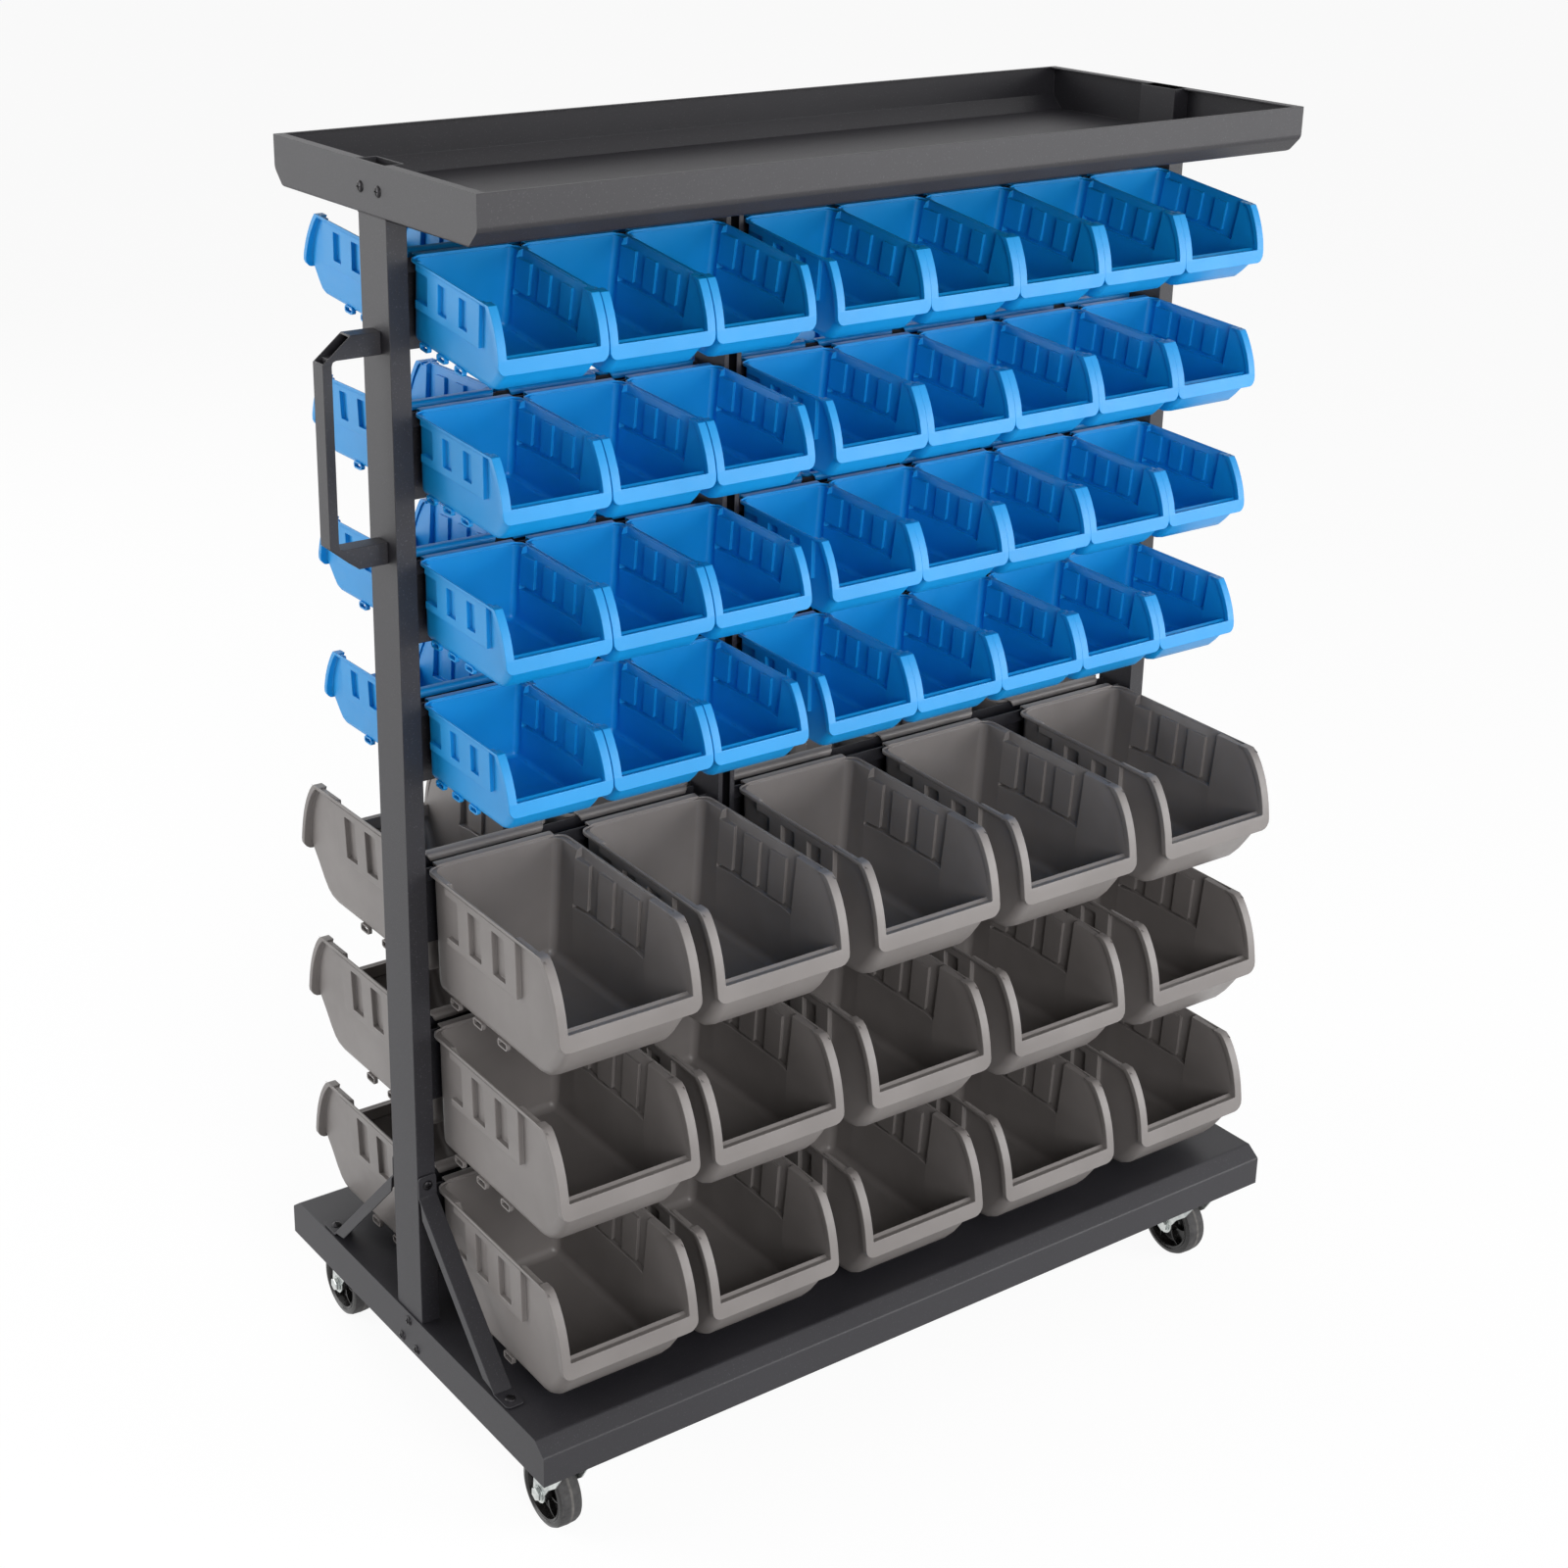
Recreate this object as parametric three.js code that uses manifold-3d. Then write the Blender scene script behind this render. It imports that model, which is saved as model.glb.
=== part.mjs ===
// Mobile bin cart: a two sided steel frame on swivel casters, hung with open fronted plastic bins.
// Millimetres. +X runs along the cart's length, +Y to its back and +Z up from the floor.
import * as THREE from "three";
import { mergeVertices } from "three/addons/utils/BufferGeometryUtils.js";
import Module from "manifold-3d";

const wasm = await Module();
wasm.setup();

// Fits shared by all pieces
const FIT = 0.3; // gap where one piece seats on another
const WELD = 0.3; // depth to which the shapes of one piece run into each other
const OVERRUN = 10; // how far a cutting shape passes what it cuts
const SHEET = 1.5; // folded steel sheet
const FLATNESS = 0.001; // facets this close to one plane become one face

// Bins, measured from the hanging plane at their back and from the rim down
const SMALL_BIN = {
  width: 107,
  height: 75,
  length: 156,
  rimLength: 131,
  floorLength: 132,
  frameFoot: 25,
  sill: 39,
  frameWidth: 9,
  frameThickness: 3,
  wall: 2,
  draw: 5.5,
  roomAbove: 62.5,
  curveSteps: 2,
};
const LARGE_BIN = {
  width: 150,
  height: 129,
  length: 236,
  rimLength: 200,
  floorLength: 195,
  nose: { length: 221, drop: 17 },
  frameFoot: 49,
  sill: 66,
  frameWidth: 9,
  frameThickness: 3,
  wall: 2.5,
  draw: 8.5,
  roomAbove: 43,
  curveSteps: 2,
};
const MOUTH_BEND_SHARES = { forward: 0.67, down: 0.35 };
const LIP = { thickness: 1.8, drop: 6, endInset: 17 };

// Hanging strips, one for each row, bay and side, and the room round their hooks
const STRIP = { height: 85, hookRise: 12.5, hookReach: 12, endGap: 5 };
const STRIP_TAB = { height: 21, footReach: 14 };
const HOOK_ROOM = { outside: 2.5, inside: 1.2 };
const BIN_BACK = STRIP.hookReach + SHEET + HOOK_ROOM.outside; // hanging plane, from the middle
const LIP_REACH = BIN_BACK - STRIP.hookReach + HOOK_ROOM.inside + LIP.thickness;

// Bays between the posts, with the room left round their bins
const BIN_GAP = 2.4;
const BAY_START = 5;
const BAYS = [
  { name: "left", smallBins: 3, bayEnd: 5, spreadShares: [0.12, 0.61] },
  { name: "right", smallBins: 5, bayEnd: 1, spreadShares: [0.08, 0.36, 0.46] },
];

// Rows, from the top down, and how far the front bins nod on their hooks
const SMALL_NODS_DEG = [8, 4, 3, 2];
const LARGE_NODS_DEG = [0, 0, 0];
const ROW_ROOM = { underTray: 35.5, betweenSizes: 93, overDeck: 20 };

// Frame
const POST = { width: 20, depth: 50, wall: 1.5, footRise: 2 };
const POST_LIP = 5.5; // each lip beside the centre post's slots
const BASE = { depth: 520, height: 44, skirt: 32, bevelRun: 16, footFlange: 60 };
const TRAY = { depth: 365, height: 46, bevelRise: 15.6, bevelRun: 15.3, hem: 3.5, endHem: 10 };

// Handle on the left post
const HANDLE = {
  reach: 57,
  depth: 19,
  gripThickness: 9,
  armHeight: 20.5,
  bottom: 948,
  height: 212,
  bevelRun: 29,
  bevelRise: 23,
  innerRadius: 4.5,
};

// Braces from the side posts to the deck
const BRACE = {
  thickness: 2,
  topRise: 170,
  tabHeight: 24,
  footEnd: 192,
  footLength: 26,
  flange: 10,
};
const BRACE_FLANGE_SHARES = { start: 0.03, full: 0.1 };

// Swivel casters
const CASTER = { wheelRoom: 19, insetX: 52, insetY: 47, trail: 23 };
const PLATE = { side: 60, corner: 7, thickness: 2.5 };
const RACE = { topRadius: 23, footRadius: 19, height: 5.7 };
const KINGPIN = { radius: 5, headRadius: 9, headHeight: 3 };
const FORK = { sheet: 2.2, crownRadius: 24, front: 21, back: 25, endRadius: 10.5, brow: 12 };
const AXLE = { radius: 4, headRadius: 7, headHeight: 3.5 };
const WHEEL = {
  radius: 38,
  width: 25,
  shoulder: 4,
  rimThickness: 8,
  web: 5,
  hubRadius: 10,
  hubProud: 1,
  sides: 14,
};
const ROUND_SIDES = 12;
const BOLT_SIDES = 6;

// Heights, worked up from the floor
const CROWN_TOP = 2 * WHEEL.radius + CASTER.wheelRoom + FORK.sheet;
const RACE_FOOT = CROWN_TOP + FIT;
const PLATE_FOOT = RACE_FOOT + RACE.height;
const PLATE_TOP = PLATE_FOOT + PLATE.thickness;
const BASE_BOTTOM = PLATE_TOP + FIT;
const DECK_TOP = BASE_BOTTOM + BASE.height;
const LARGE_PITCH = LARGE_BIN.height + LARGE_BIN.roomAbove;
const SMALL_PITCH = SMALL_BIN.height + SMALL_BIN.roomAbove;
const LOWEST_ROW = DECK_TOP + ROW_ROOM.overDeck + LARGE_BIN.height;
const TOP_LARGE_ROW = LOWEST_ROW + (LARGE_NODS_DEG.length - 1) * LARGE_PITCH;
const LOW_SMALL_ROW = TOP_LARGE_ROW + ROW_ROOM.betweenSizes + SMALL_BIN.height;
const TOP_SMALL_ROW = LOW_SMALL_ROW + (SMALL_NODS_DEG.length - 1) * SMALL_PITCH;
const TRAY_BOTTOM = TOP_SMALL_ROW + ROW_ROOM.underTray;
const TOP = TRAY_BOTTOM + TRAY.height;

// Places along the length, from the cart's middle. A bay is as wide as its fuller row needs.
const rowLength = (bins, width) => bins * (width + BIN_GAP) - BIN_GAP;
const bayWidth = ({ smallBins, bayEnd, spreadShares }) => Math.max(
  BAY_START + rowLength(smallBins, SMALL_BIN.width) + bayEnd,
  BAY_START + rowLength(spreadShares.length, LARGE_BIN.width) + BAY_START,
);
const INNER_LENGTH = BAYS.reduce((sum, bay) => sum + bayWidth(bay), POST.width);
const POST_OUTSIDE = INNER_LENGTH / 2 + POST.width;
const POST_X = POST_OUTSIDE - POST.width / 2;
const LENGTH = 2 * (POST_OUTSIDE + FIT + SHEET);
const CENTRE_POST_X = -INNER_LENGTH / 2 + bayWidth(BAYS[0]) + POST.width / 2;
const HANDLE_OUTSIDE = POST_OUTSIDE + FIT + HANDLE.reach;
const CASTER_X = LENGTH / 2 - CASTER.insetX;
const CASTER_Y = BASE.depth / 2 - CASTER.insetY;

// Finishes
const BLACK_STEEL = new THREE.MeshStandardMaterial({ color: 0x47464b, roughness: 0.6, metalness: 0.3 });
const BLUE_PLASTIC = new THREE.MeshStandardMaterial({ color: 0x3f8fd6, roughness: 0.4, metalness: 0 });
const GREY_PLASTIC = new THREE.MeshStandardMaterial({ color: 0x8a8584, roughness: 0.45, metalness: 0 });
const ZINC = new THREE.MeshStandardMaterial({ color: 0xd2d4d0, roughness: 0.3, metalness: 0.9 });
const TREAD = new THREE.MeshStandardMaterial({ color: 0x6b6664, roughness: 0.7, metalness: 0 });

// Axes in which outlines are drawn and along which they are drawn out
const X = new THREE.Vector3(1, 0, 0);
const Y = new THREE.Vector3(0, 1, 0);
const Z = new THREE.Vector3(0, 0, 1);
const ALONG_X = new THREE.Matrix4().makeBasis(Y, Z, X);
const ALONG_Y = new THREE.Matrix4().makeBasis(X, Z, Y.clone().negate());
const ALONG_Z = new THREE.Matrix4();
const FRONTWARD = new THREE.Matrix4().makeBasis(Y.clone().negate(), Z, X.clone().negate());

const point = (x, y) => new THREE.Vector2(x, y);

function solidOf(geometry) {
  const bare = geometry.clone();
  bare.deleteAttribute("normal");
  bare.deleteAttribute("uv");
  const merged = mergeVertices(bare);
  const vertProperties = merged.getAttribute("position").array;
  const triVerts = new Uint32Array(merged.index.array);
  return new wasm.Manifold(new wasm.Mesh({ numProp: 3, vertProperties, triVerts }));
}

function geometryOf(solid) {
  const { vertProperties, triVerts } = solid.asOriginal().simplify(FLATNESS).getMesh();
  const geometry = new THREE.BufferGeometry();
  geometry.setAttribute("position", new THREE.BufferAttribute(vertProperties, 3));
  geometry.setIndex(new THREE.BufferAttribute(triVerts, 1));
  return geometry;
}

function piece(name, solid, finish) {
  const geometry = geometryOf(solid);
  geometry.computeVertexNormals();
  const mesh = new THREE.Mesh(geometry, finish.clone());
  mesh.name = name;
  return mesh;
}

const joined = (solids) => solids.reduce((sum, solid) => sum.add(solid));

function prism(outline, from, to, frame, curveSegments) {
  const shape = outline instanceof THREE.Shape ? outline : new THREE.Shape(outline);
  const options = { depth: to - from, bevelEnabled: false, curveSegments };
  return solidOf(new THREE.ExtrudeGeometry(shape, options).translate(0, 0, from).applyMatrix4(frame));
}

function block([x0, x1], [y0, y1], [z0, z1]) {
  const box = new THREE.BoxGeometry(x1 - x0, y1 - y0, z1 - z0);
  return solidOf(box.translate((x0 + x1) / 2, (y0 + y1) / 2, (z0 + z1) / 2));
}

// A disc or cone along Z, drawn as a half outline of radius and height
function turned(profile, sides) {
  const half = Math.PI / sides;
  return solidOf(new THREE.LatheGeometry(profile, sides, half).rotateX(Math.PI / 2));
}

// The outline of a sheet folded along a line, with its thickness on the line's left
function folded(line, thickness) {
  const lefts = line.slice(1).map((end, i) => {
    const along = end.clone().sub(line[i]).normalize();
    return point(-along.y, along.x);
  });
  const inner = line.map((corner, i) => {
    const before = lefts[Math.max(i - 1, 0)];
    const after = lefts[Math.min(i, lefts.length - 1)];
    const mitre = before.clone().add(after);
    return corner.clone().addScaledVector(mitre, (2 * thickness) / mitre.lengthSq());
  });
  return [...line, ...inner.reverse()];
}

// A right half outline and its mirror image, as one line
const symmetric = (half) => [...half, ...half.map(({ x, y }) => point(-x, y)).reverse()];

// Base: a folded deck with bevelled long edges, flanges for the casters and flat ends
function base() {
  const side = BASE.depth / 2;
  const shoulder = side - BASE.bevelRun;
  const profile = symmetric([
    point(side - BASE.footFlange, 0),
    point(side, 0),
    point(side, BASE.skirt),
    point(shoulder, BASE.height),
  ]);
  const end = LENGTH / 2;
  const inside = end - SHEET;
  const shell = prism(folded(profile, SHEET), -end, end, ALONG_X);
  const endOutline = symmetric([point(side, 0), point(side, BASE.skirt), point(shoulder, BASE.height)]);
  const ends = [-1, 1].map((hand) => {
    const [from, to] = hand < 0 ? [-end, -inside] : [inside, end];
    return prism(endOutline, from, to, ALONG_X);
  });
  const slots = [-1, 1].map((hand) => postSlot(hand, BASE.height));
  return slots.reduce((solid, slot) => solid.subtract(slot), joined([shell, ...ends]));
}

// The hole that a side post passes through, in a floor at a given height
function postSlot(hand, height) {
  const inner = hand * (POST_OUTSIDE - POST.width - FIT);
  const outer = hand * (POST_OUTSIDE + FIT);
  const side = POST.depth / 2 + FIT;
  const low = height - SHEET - WELD;
  return block([Math.min(inner, outer), Math.max(inner, outer)], [-side, side], [low, height + OVERRUN]);
}

// Tray: an open top folded pan with hemmed rims and end flanges cut away at the posts
function tray() {
  const side = TRAY.depth / 2;
  const floorSide = side - TRAY.bevelRun;
  const profile = symmetric([
    point(floorSide, 0),
    point(side, TRAY.bevelRise),
    point(side, TRAY.height),
    point(side - TRAY.hem, TRAY.height),
  ].reverse()).reverse();
  const end = LENGTH / 2;
  const inside = end - SHEET;
  const shell = prism(folded(profile, SHEET), -end, end, ALONG_X);
  const endOutline = symmetric([
    point(floorSide, 0),
    point(side, TRAY.bevelRise),
    point(side, TRAY.height),
  ]);
  const parts = [shell];
  const postSide = POST.depth / 2 + FIT;
  for (const hand of [-1, 1]) {
    const across = (reach) => [hand * end, hand * (end - reach)].sort((a, b) => a - b);
    const hemHeights = [TRAY.height - SHEET, TRAY.height];
    parts.push(prism(endOutline, ...across(SHEET), ALONG_X));
    parts.push(block(across(TRAY.endHem), [postSide, side - WELD], hemHeights));
    parts.push(block(across(TRAY.endHem), [WELD - side, -postSide], hemHeights));
  }
  const slots = [-1, 1].map((hand) => {
    const cut = postSlot(hand, SHEET);
    return cut.intersect(block([-inside, inside], [-side, side], [-OVERRUN, TRAY.height / 2]));
  });
  return slots.reduce((solid, slot) => solid.subtract(slot), joined(parts));
}

// Side post: a rectangular tube that stands in the base and rises through the tray
function sidePost() {
  const tube = new THREE.Shape(rectangle(POST.width, POST.depth));
  tube.holes.push(new THREE.Path(rectangle(POST.width - 2 * POST.wall, POST.depth - 2 * POST.wall)));
  return prism(tube, BASE_BOTTOM + POST.footRise, TOP, ALONG_Z);
}

function rectangle(width, depth) {
  return symmetric([point(width / 2, -depth / 2), point(width / 2, depth / 2)]);
}

// Centre post: two lipped channels, back to back, from the deck to the tray
function centrePost() {
  const half = POST.width / 2;
  const channel = [
    point(half - POST_LIP, POST.depth / 2),
    point(half, POST.depth / 2),
    point(half, -WELD),
  ];
  const outline = folded(symmetric(channel), -POST.wall);
  const heights = [DECK_TOP + FIT, TRAY_BOTTOM - FIT];
  const halves = [outline, outline.map(({ x, y }) => point(-x, -y))];
  return joined(halves.map((shape) => prism(shape, ...heights, ALONG_Z)));
}

// Handle: a hollow folded bar whose outer corners are cut off and left open
function handle() {
  const { reach, height, armHeight, gripThickness, bevelRun, bevelRise, innerRadius } = HANDLE;
  const grip = reach - gripThickness;
  const bar = new THREE.Shape();
  bar.moveTo(0, 0);
  bar.lineTo(bevelRun, 0);
  bar.lineTo(reach, bevelRise);
  bar.lineTo(reach, height - bevelRise);
  bar.lineTo(bevelRun, height);
  bar.lineTo(0, height);
  bar.lineTo(0, height - armHeight);
  bar.lineTo(grip - innerRadius, height - armHeight);
  bar.quadraticCurveTo(grip, height - armHeight, grip, height - armHeight - innerRadius);
  bar.lineTo(grip, armHeight + innerRadius);
  bar.quadraticCurveTo(grip, armHeight, grip - innerRadius, armHeight);
  bar.lineTo(0, armHeight);
  const hollow = [
    point(-OVERRUN, SHEET),
    point(reach - SHEET, SHEET),
    point(reach - SHEET, height - SHEET),
    point(-OVERRUN, height - SHEET),
    point(-OVERRUN, height - armHeight + SHEET),
    point(grip + SHEET, height - armHeight + SHEET),
    point(grip + SHEET, armHeight - SHEET),
    point(-OVERRUN, armHeight - SHEET),
  ];
  const half = HANDLE.depth / 2;
  const shell = prism(bar, -half, half, ALONG_Y, 2);
  return shell.subtract(prism(hollow, SHEET - half, half - SHEET, ALONG_Y));
}

// Brace: an angle with flat ends, against the post's face and on the deck
function brace(hand) {
  const face = POST.depth / 2 + FIT;
  const tab = BRACE.topRise - BRACE.tabHeight;
  const foot = BRACE.footEnd - BRACE.footLength;
  const line = [
    point(face, BRACE.topRise),
    point(face, tab),
    point(foot, FIT),
    point(BRACE.footEnd, FIT),
  ];
  const half = POST.width / 2;
  const strap = prism(folded(line, BRACE.thickness), -half, half, FRONTWARD);
  const [, high, low] = line;
  const slope = low.clone().sub(high);
  const inward = point(slope.y, -slope.x).normalize();
  const along = (share, depth) => high.clone().addScaledVector(slope, share).addScaledVector(inward, depth);
  const { start, full } = BRACE_FLANGE_SHARES;
  const flange = [
    along(start, -WELD),
    along(full, BRACE.flange),
    along(1 - full, BRACE.flange),
    along(1 - start, -WELD),
  ];
  const sides = [-hand * half, -hand * (half - BRACE.thickness)].sort((a, b) => a - b);
  return strap.add(prism(flange, ...sides, FRONTWARD));
}

// Caster plate: a square plate with its bearing race and the kingpin that holds the fork
function casterPlate() {
  const side = PLATE.side / 2;
  const flat = side - PLATE.corner;
  const quarter = [point(side, -flat), point(side, flat), point(flat, side)];
  const outline = symmetric([point(flat, -side), ...quarter]);
  const headTop = CROWN_TOP - FORK.sheet - FIT;
  const spindle = turned([
    point(0, headTop - KINGPIN.headHeight),
    point(KINGPIN.headRadius - KINGPIN.headHeight / 2, headTop - KINGPIN.headHeight),
    point(KINGPIN.headRadius, headTop),
    point(KINGPIN.radius, headTop),
    point(KINGPIN.radius, RACE_FOOT),
    point(RACE.footRadius, RACE_FOOT),
    point(RACE.topRadius, PLATE_FOOT),
    point(RACE.topRadius - WELD, PLATE_FOOT + WELD),
    point(0, PLATE_FOOT + WELD),
  ], ROUND_SIDES);
  return spindle.add(prism(outline, PLATE_FOOT, PLATE_TOP, ALONG_Z));
}

// Fork: a folded yoke whose legs narrow to the axle behind the kingpin
function fork() {
  const top = CROWN_TOP;
  const inside = WHEEL.width / 2 + WHEEL.hubProud + FIT;
  const outside = inside + FORK.sheet;
  const bend = FORK.sheet;
  const yoke = symmetric([
    point(outside, 0),
    point(outside, top - bend),
    point(outside - bend, top),
  ]);
  const gap = symmetric([point(inside, -OVERRUN), point(inside, top - FORK.sheet)]);
  const side = new THREE.Shape();
  side.moveTo(-FORK.front, top);
  side.lineTo(-FORK.front, top - FORK.brow);
  side.lineTo(CASTER.trail - FORK.endRadius, WHEEL.radius);
  side.absarc(CASTER.trail, WHEEL.radius, FORK.endRadius, Math.PI, 2 * Math.PI, false);
  side.lineTo(FORK.back, top - FORK.brow);
  side.lineTo(FORK.back, top);
  const legs = prism(yoke, -FORK.back - OVERRUN, FORK.front + OVERRUN, ALONG_Y)
    .subtract(prism(gap, -FORK.back - 2 * OVERRUN, FORK.front + 2 * OVERRUN, ALONG_Y))
    .intersect(prism(side, -outside, outside, ALONG_X, 4));
  const crown = turned([
    point(0, top - FORK.sheet),
    point(FORK.crownRadius, top - FORK.sheet),
    point(FORK.crownRadius, top),
    point(0, top),
  ], ROUND_SIDES);
  const pinHole = turned([
    point(0, top - OVERRUN),
    point(KINGPIN.radius + FIT, top - OVERRUN),
    point(KINGPIN.radius + FIT, top + OVERRUN),
    point(0, top + OVERRUN),
  ], ROUND_SIDES);
  const axleHole = shaft(AXLE.radius + FIT, outside + OVERRUN);
  return legs.add(crown).subtract(pinHole).subtract(axleHole);
}

// A round bar along X at the axle's place
function shaft(radius, reach) {
  const bar = new THREE.CylinderGeometry(radius, radius, 2 * reach, BOLT_SIDES);
  return solidOf(bar.rotateZ(Math.PI / 2).translate(0, CASTER.trail, WHEEL.radius));
}

// Axle: a bolt through both legs, with its head and its nut outside them
function axle() {
  const seat = WHEEL.width / 2 + WHEEL.hubProud + FORK.sheet + 2 * FIT;
  const end = seat + AXLE.headHeight;
  const profile = [
    point(0, -end),
    point(AXLE.headRadius - FIT, -end),
    point(AXLE.headRadius, -seat),
    point(AXLE.radius, -seat),
    point(AXLE.radius, seat),
    point(AXLE.headRadius, seat),
    point(AXLE.headRadius - FIT, end),
    point(0, end),
  ];
  const bolt = new THREE.LatheGeometry(profile, BOLT_SIDES).rotateZ(Math.PI / 2);
  return solidOf(bolt.translate(0, CASTER.trail, WHEEL.radius));
}

// Wheel: a tyre with round shoulders, a thin web and a bored hub
function wheel() {
  const sides = WHEEL.sides;
  const flatsFit = 1 / Math.cos(Math.PI / sides);
  const side = WHEEL.width / 2;
  const bore = AXLE.radius + FIT;
  const rim = WHEEL.radius - WHEEL.rimThickness;
  const hub = side + WHEEL.hubProud;
  const half = [
    point(bore, hub),
    point(WHEEL.hubRadius, hub),
    point(WHEEL.hubRadius, WHEEL.web / 2),
    point(rim, WHEEL.web / 2),
    point(rim, side),
    point(WHEEL.radius - WHEEL.shoulder, side),
    point(WHEEL.radius, side - WHEEL.shoulder),
  ];
  const ring = [...half, ...half.map(({ x, y }) => point(x, -y)).reverse()];
  const profile = [...ring, ring[0]].map(({ x, y }) => point(x * flatsFit, y)).reverse();
  const body = new THREE.LatheGeometry(profile, sides, Math.PI / sides).rotateZ(Math.PI / 2);
  return solidOf(body.translate(0, CASTER.trail, WHEEL.radius));
}

// Bin outline from the side: hanging plane at 0, rim at 0, floor at the height below it
function binOutline(bin, inset) {
  const frontInset = inset > 0 ? bin.frameThickness : 0;
  const top = inset > 0 ? OVERRUN : 0;
  const foot = -(bin.height - bin.frameFoot);
  const reach = bin.length - frontInset;
  const rimReach = bin.rimLength - frontInset;
  const bendForward = rimReach + (reach - rimReach) * MOUTH_BEND_SHARES.forward;
  const outline = new THREE.Shape();
  outline.moveTo(inset, top);
  outline.lineTo(inset, inset - bin.height);
  outline.lineTo(bin.floorLength - inset, inset - bin.height);
  if (bin.nose) outline.lineTo(bin.nose.length - frontInset, foot - bin.nose.drop + inset);
  outline.lineTo(reach, foot + inset);
  outline.quadraticCurveTo(bendForward, foot * MOUTH_BEND_SHARES.down, rimReach, 0);
  if (inset > 0) outline.lineTo(rimReach, top);
  return outline;
}

// A prism across the bin whose half width follows the bin's draw
function drawnPrism(outline, bin, inset) {
  const options = { depth: 1, bevelEnabled: false, curveSegments: bin.curveSteps };
  const geometry = new THREE.ExtrudeGeometry(outline, options).translate(0, 0, -1 / 2);
  geometry.applyMatrix4(FRONTWARD);
  const places = geometry.getAttribute("position");
  for (let i = 0; i < places.count; i += 1) {
    const fall = -places.getZ(i) / bin.height;
    const half = bin.width / 2 - inset - fall * bin.draw;
    places.setX(i, 2 * places.getX(i) * half);
  }
  return solidOf(geometry);
}

// Bin: a drawn shell with an open framed mouth and the lip that it hangs by. Along a row the
// lips are flat tongues, and a bin that lifts off has its lip's turned down edge too.
function bin(size, turnedDown) {
  const half = size.width / 2;
  const shell = drawnPrism(binOutline(size, 0), size, 0);
  const lipLine = [point(WELD, 0), point(-LIP_REACH, 0)];
  if (turnedDown) lipLine.push(point(-LIP_REACH, -LIP.drop));
  const lipSide = half - LIP.endInset;
  const lip = prism(folded(lipLine, LIP.thickness), -lipSide, lipSide, FRONTWARD);
  const cavity = drawnPrism(binOutline(size, size.wall), size, size.wall);
  const mouthHalf = half - size.frameWidth;
  const sill = size.sill - size.height;
  const mouth = block(
    [-mouthHalf, mouthHalf],
    [-size.length - OVERRUN, -size.rimLength + 2 * size.frameThickness],
    [sill, OVERRUN],
  );
  return shell.add(lip).subtract(cavity).subtract(mouth);
}

// The bin's place on its hook, nodding about the hook's edge
function hungBin(geometry, x, nodDeg, lift) {
  const hook = BIN_BACK - STRIP.hookReach - SHEET / 2;
  const hung = geometry.clone().translate(0, -hook, LIP.thickness);
  hung.rotateX(THREE.MathUtils.degToRad(nodDeg));
  return solidOf(hung.translate(x, hook - BIN_BACK, lift - LIP.thickness));
}

// Hanging strip: a web, a shelf and an upright hook, with a tab and a foot at each post
function strip(width) {
  const back = FIT / 2;
  const half = width / 2;
  const hookTop = WELD - LIP.thickness;
  const shelf = hookTop - STRIP.hookRise;
  const line = [
    point(back, -STRIP.height),
    point(back, shelf),
    point(STRIP.hookReach, shelf),
    point(STRIP.hookReach, hookTop),
  ];
  const end = half - STRIP.endGap;
  const reach = half - FIT;
  const heights = [-STRIP.height, STRIP_TAB.height - STRIP.height];
  const profile = folded(line, -SHEET);
  return [-1, 1].reduce((solid, hand) => {
    const notch = [hand * end, hand * (reach + OVERRUN)].sort((a, b) => a - b);
    const foot = [hand * (reach - SHEET), hand * reach].sort((a, b) => a - b);
    return solid
      .subtract(block(notch, [-STRIP.hookReach - OVERRUN, OVERRUN], [heights[1], OVERRUN]))
      .add(block(foot, [-STRIP_TAB.footReach, -back], heights));
  }, prism(profile, -reach, reach, FRONTWARD));
}

// Bin centres along a bay, small ones side by side and large ones spread
function smallPlaces(bay) {
  const first = BAY_START + SMALL_BIN.width / 2 - bayWidth(bay) / 2;
  return Array.from({ length: bay.smallBins }, (_, i) => first + i * (SMALL_BIN.width + BIN_GAP));
}

function largePlaces(bay) {
  const room = bayWidth(bay) - bay.spreadShares.length * LARGE_BIN.width;
  let edge = -bayWidth(bay) / 2;
  return bay.spreadShares.map((share) => {
    const centre = edge + share * room + LARGE_BIN.width / 2;
    edge = centre + LARGE_BIN.width / 2;
    return centre;
  });
}

// Pieces, placed
const cart = new THREE.Group();
const frame = new THREE.Group();
frame.position.set((HANDLE_OUTSIDE - LENGTH / 2) / 2, 0, 0);
const wheelBack = CASTER_Y + CASTER.trail + WHEEL.radius;
frame.position.y = (BASE.depth / 2 - wheelBack) / 2;
cart.add(frame);

function place(mesh, x, y, z, turn = 0) {
  mesh.position.set(x, y, z);
  mesh.rotation.z = turn;
  frame.add(mesh);
}

place(piece("base_deck", base(), BLACK_STEEL), 0, 0, BASE_BOTTOM);
place(piece("top_tray", tray(), BLACK_STEEL), 0, 0, TRAY_BOTTOM);
place(piece("post_left", sidePost(), BLACK_STEEL), -POST_X, 0, 0);
place(piece("post_right", sidePost(), BLACK_STEEL), POST_X, 0, 0);
place(piece("post_centre", centrePost(), BLACK_STEEL), CENTRE_POST_X, 0, 0);
place(piece("push_handle", handle(), BLACK_STEEL), -POST_OUTSIDE - FIT, 0, HANDLE.bottom, Math.PI);

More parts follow.
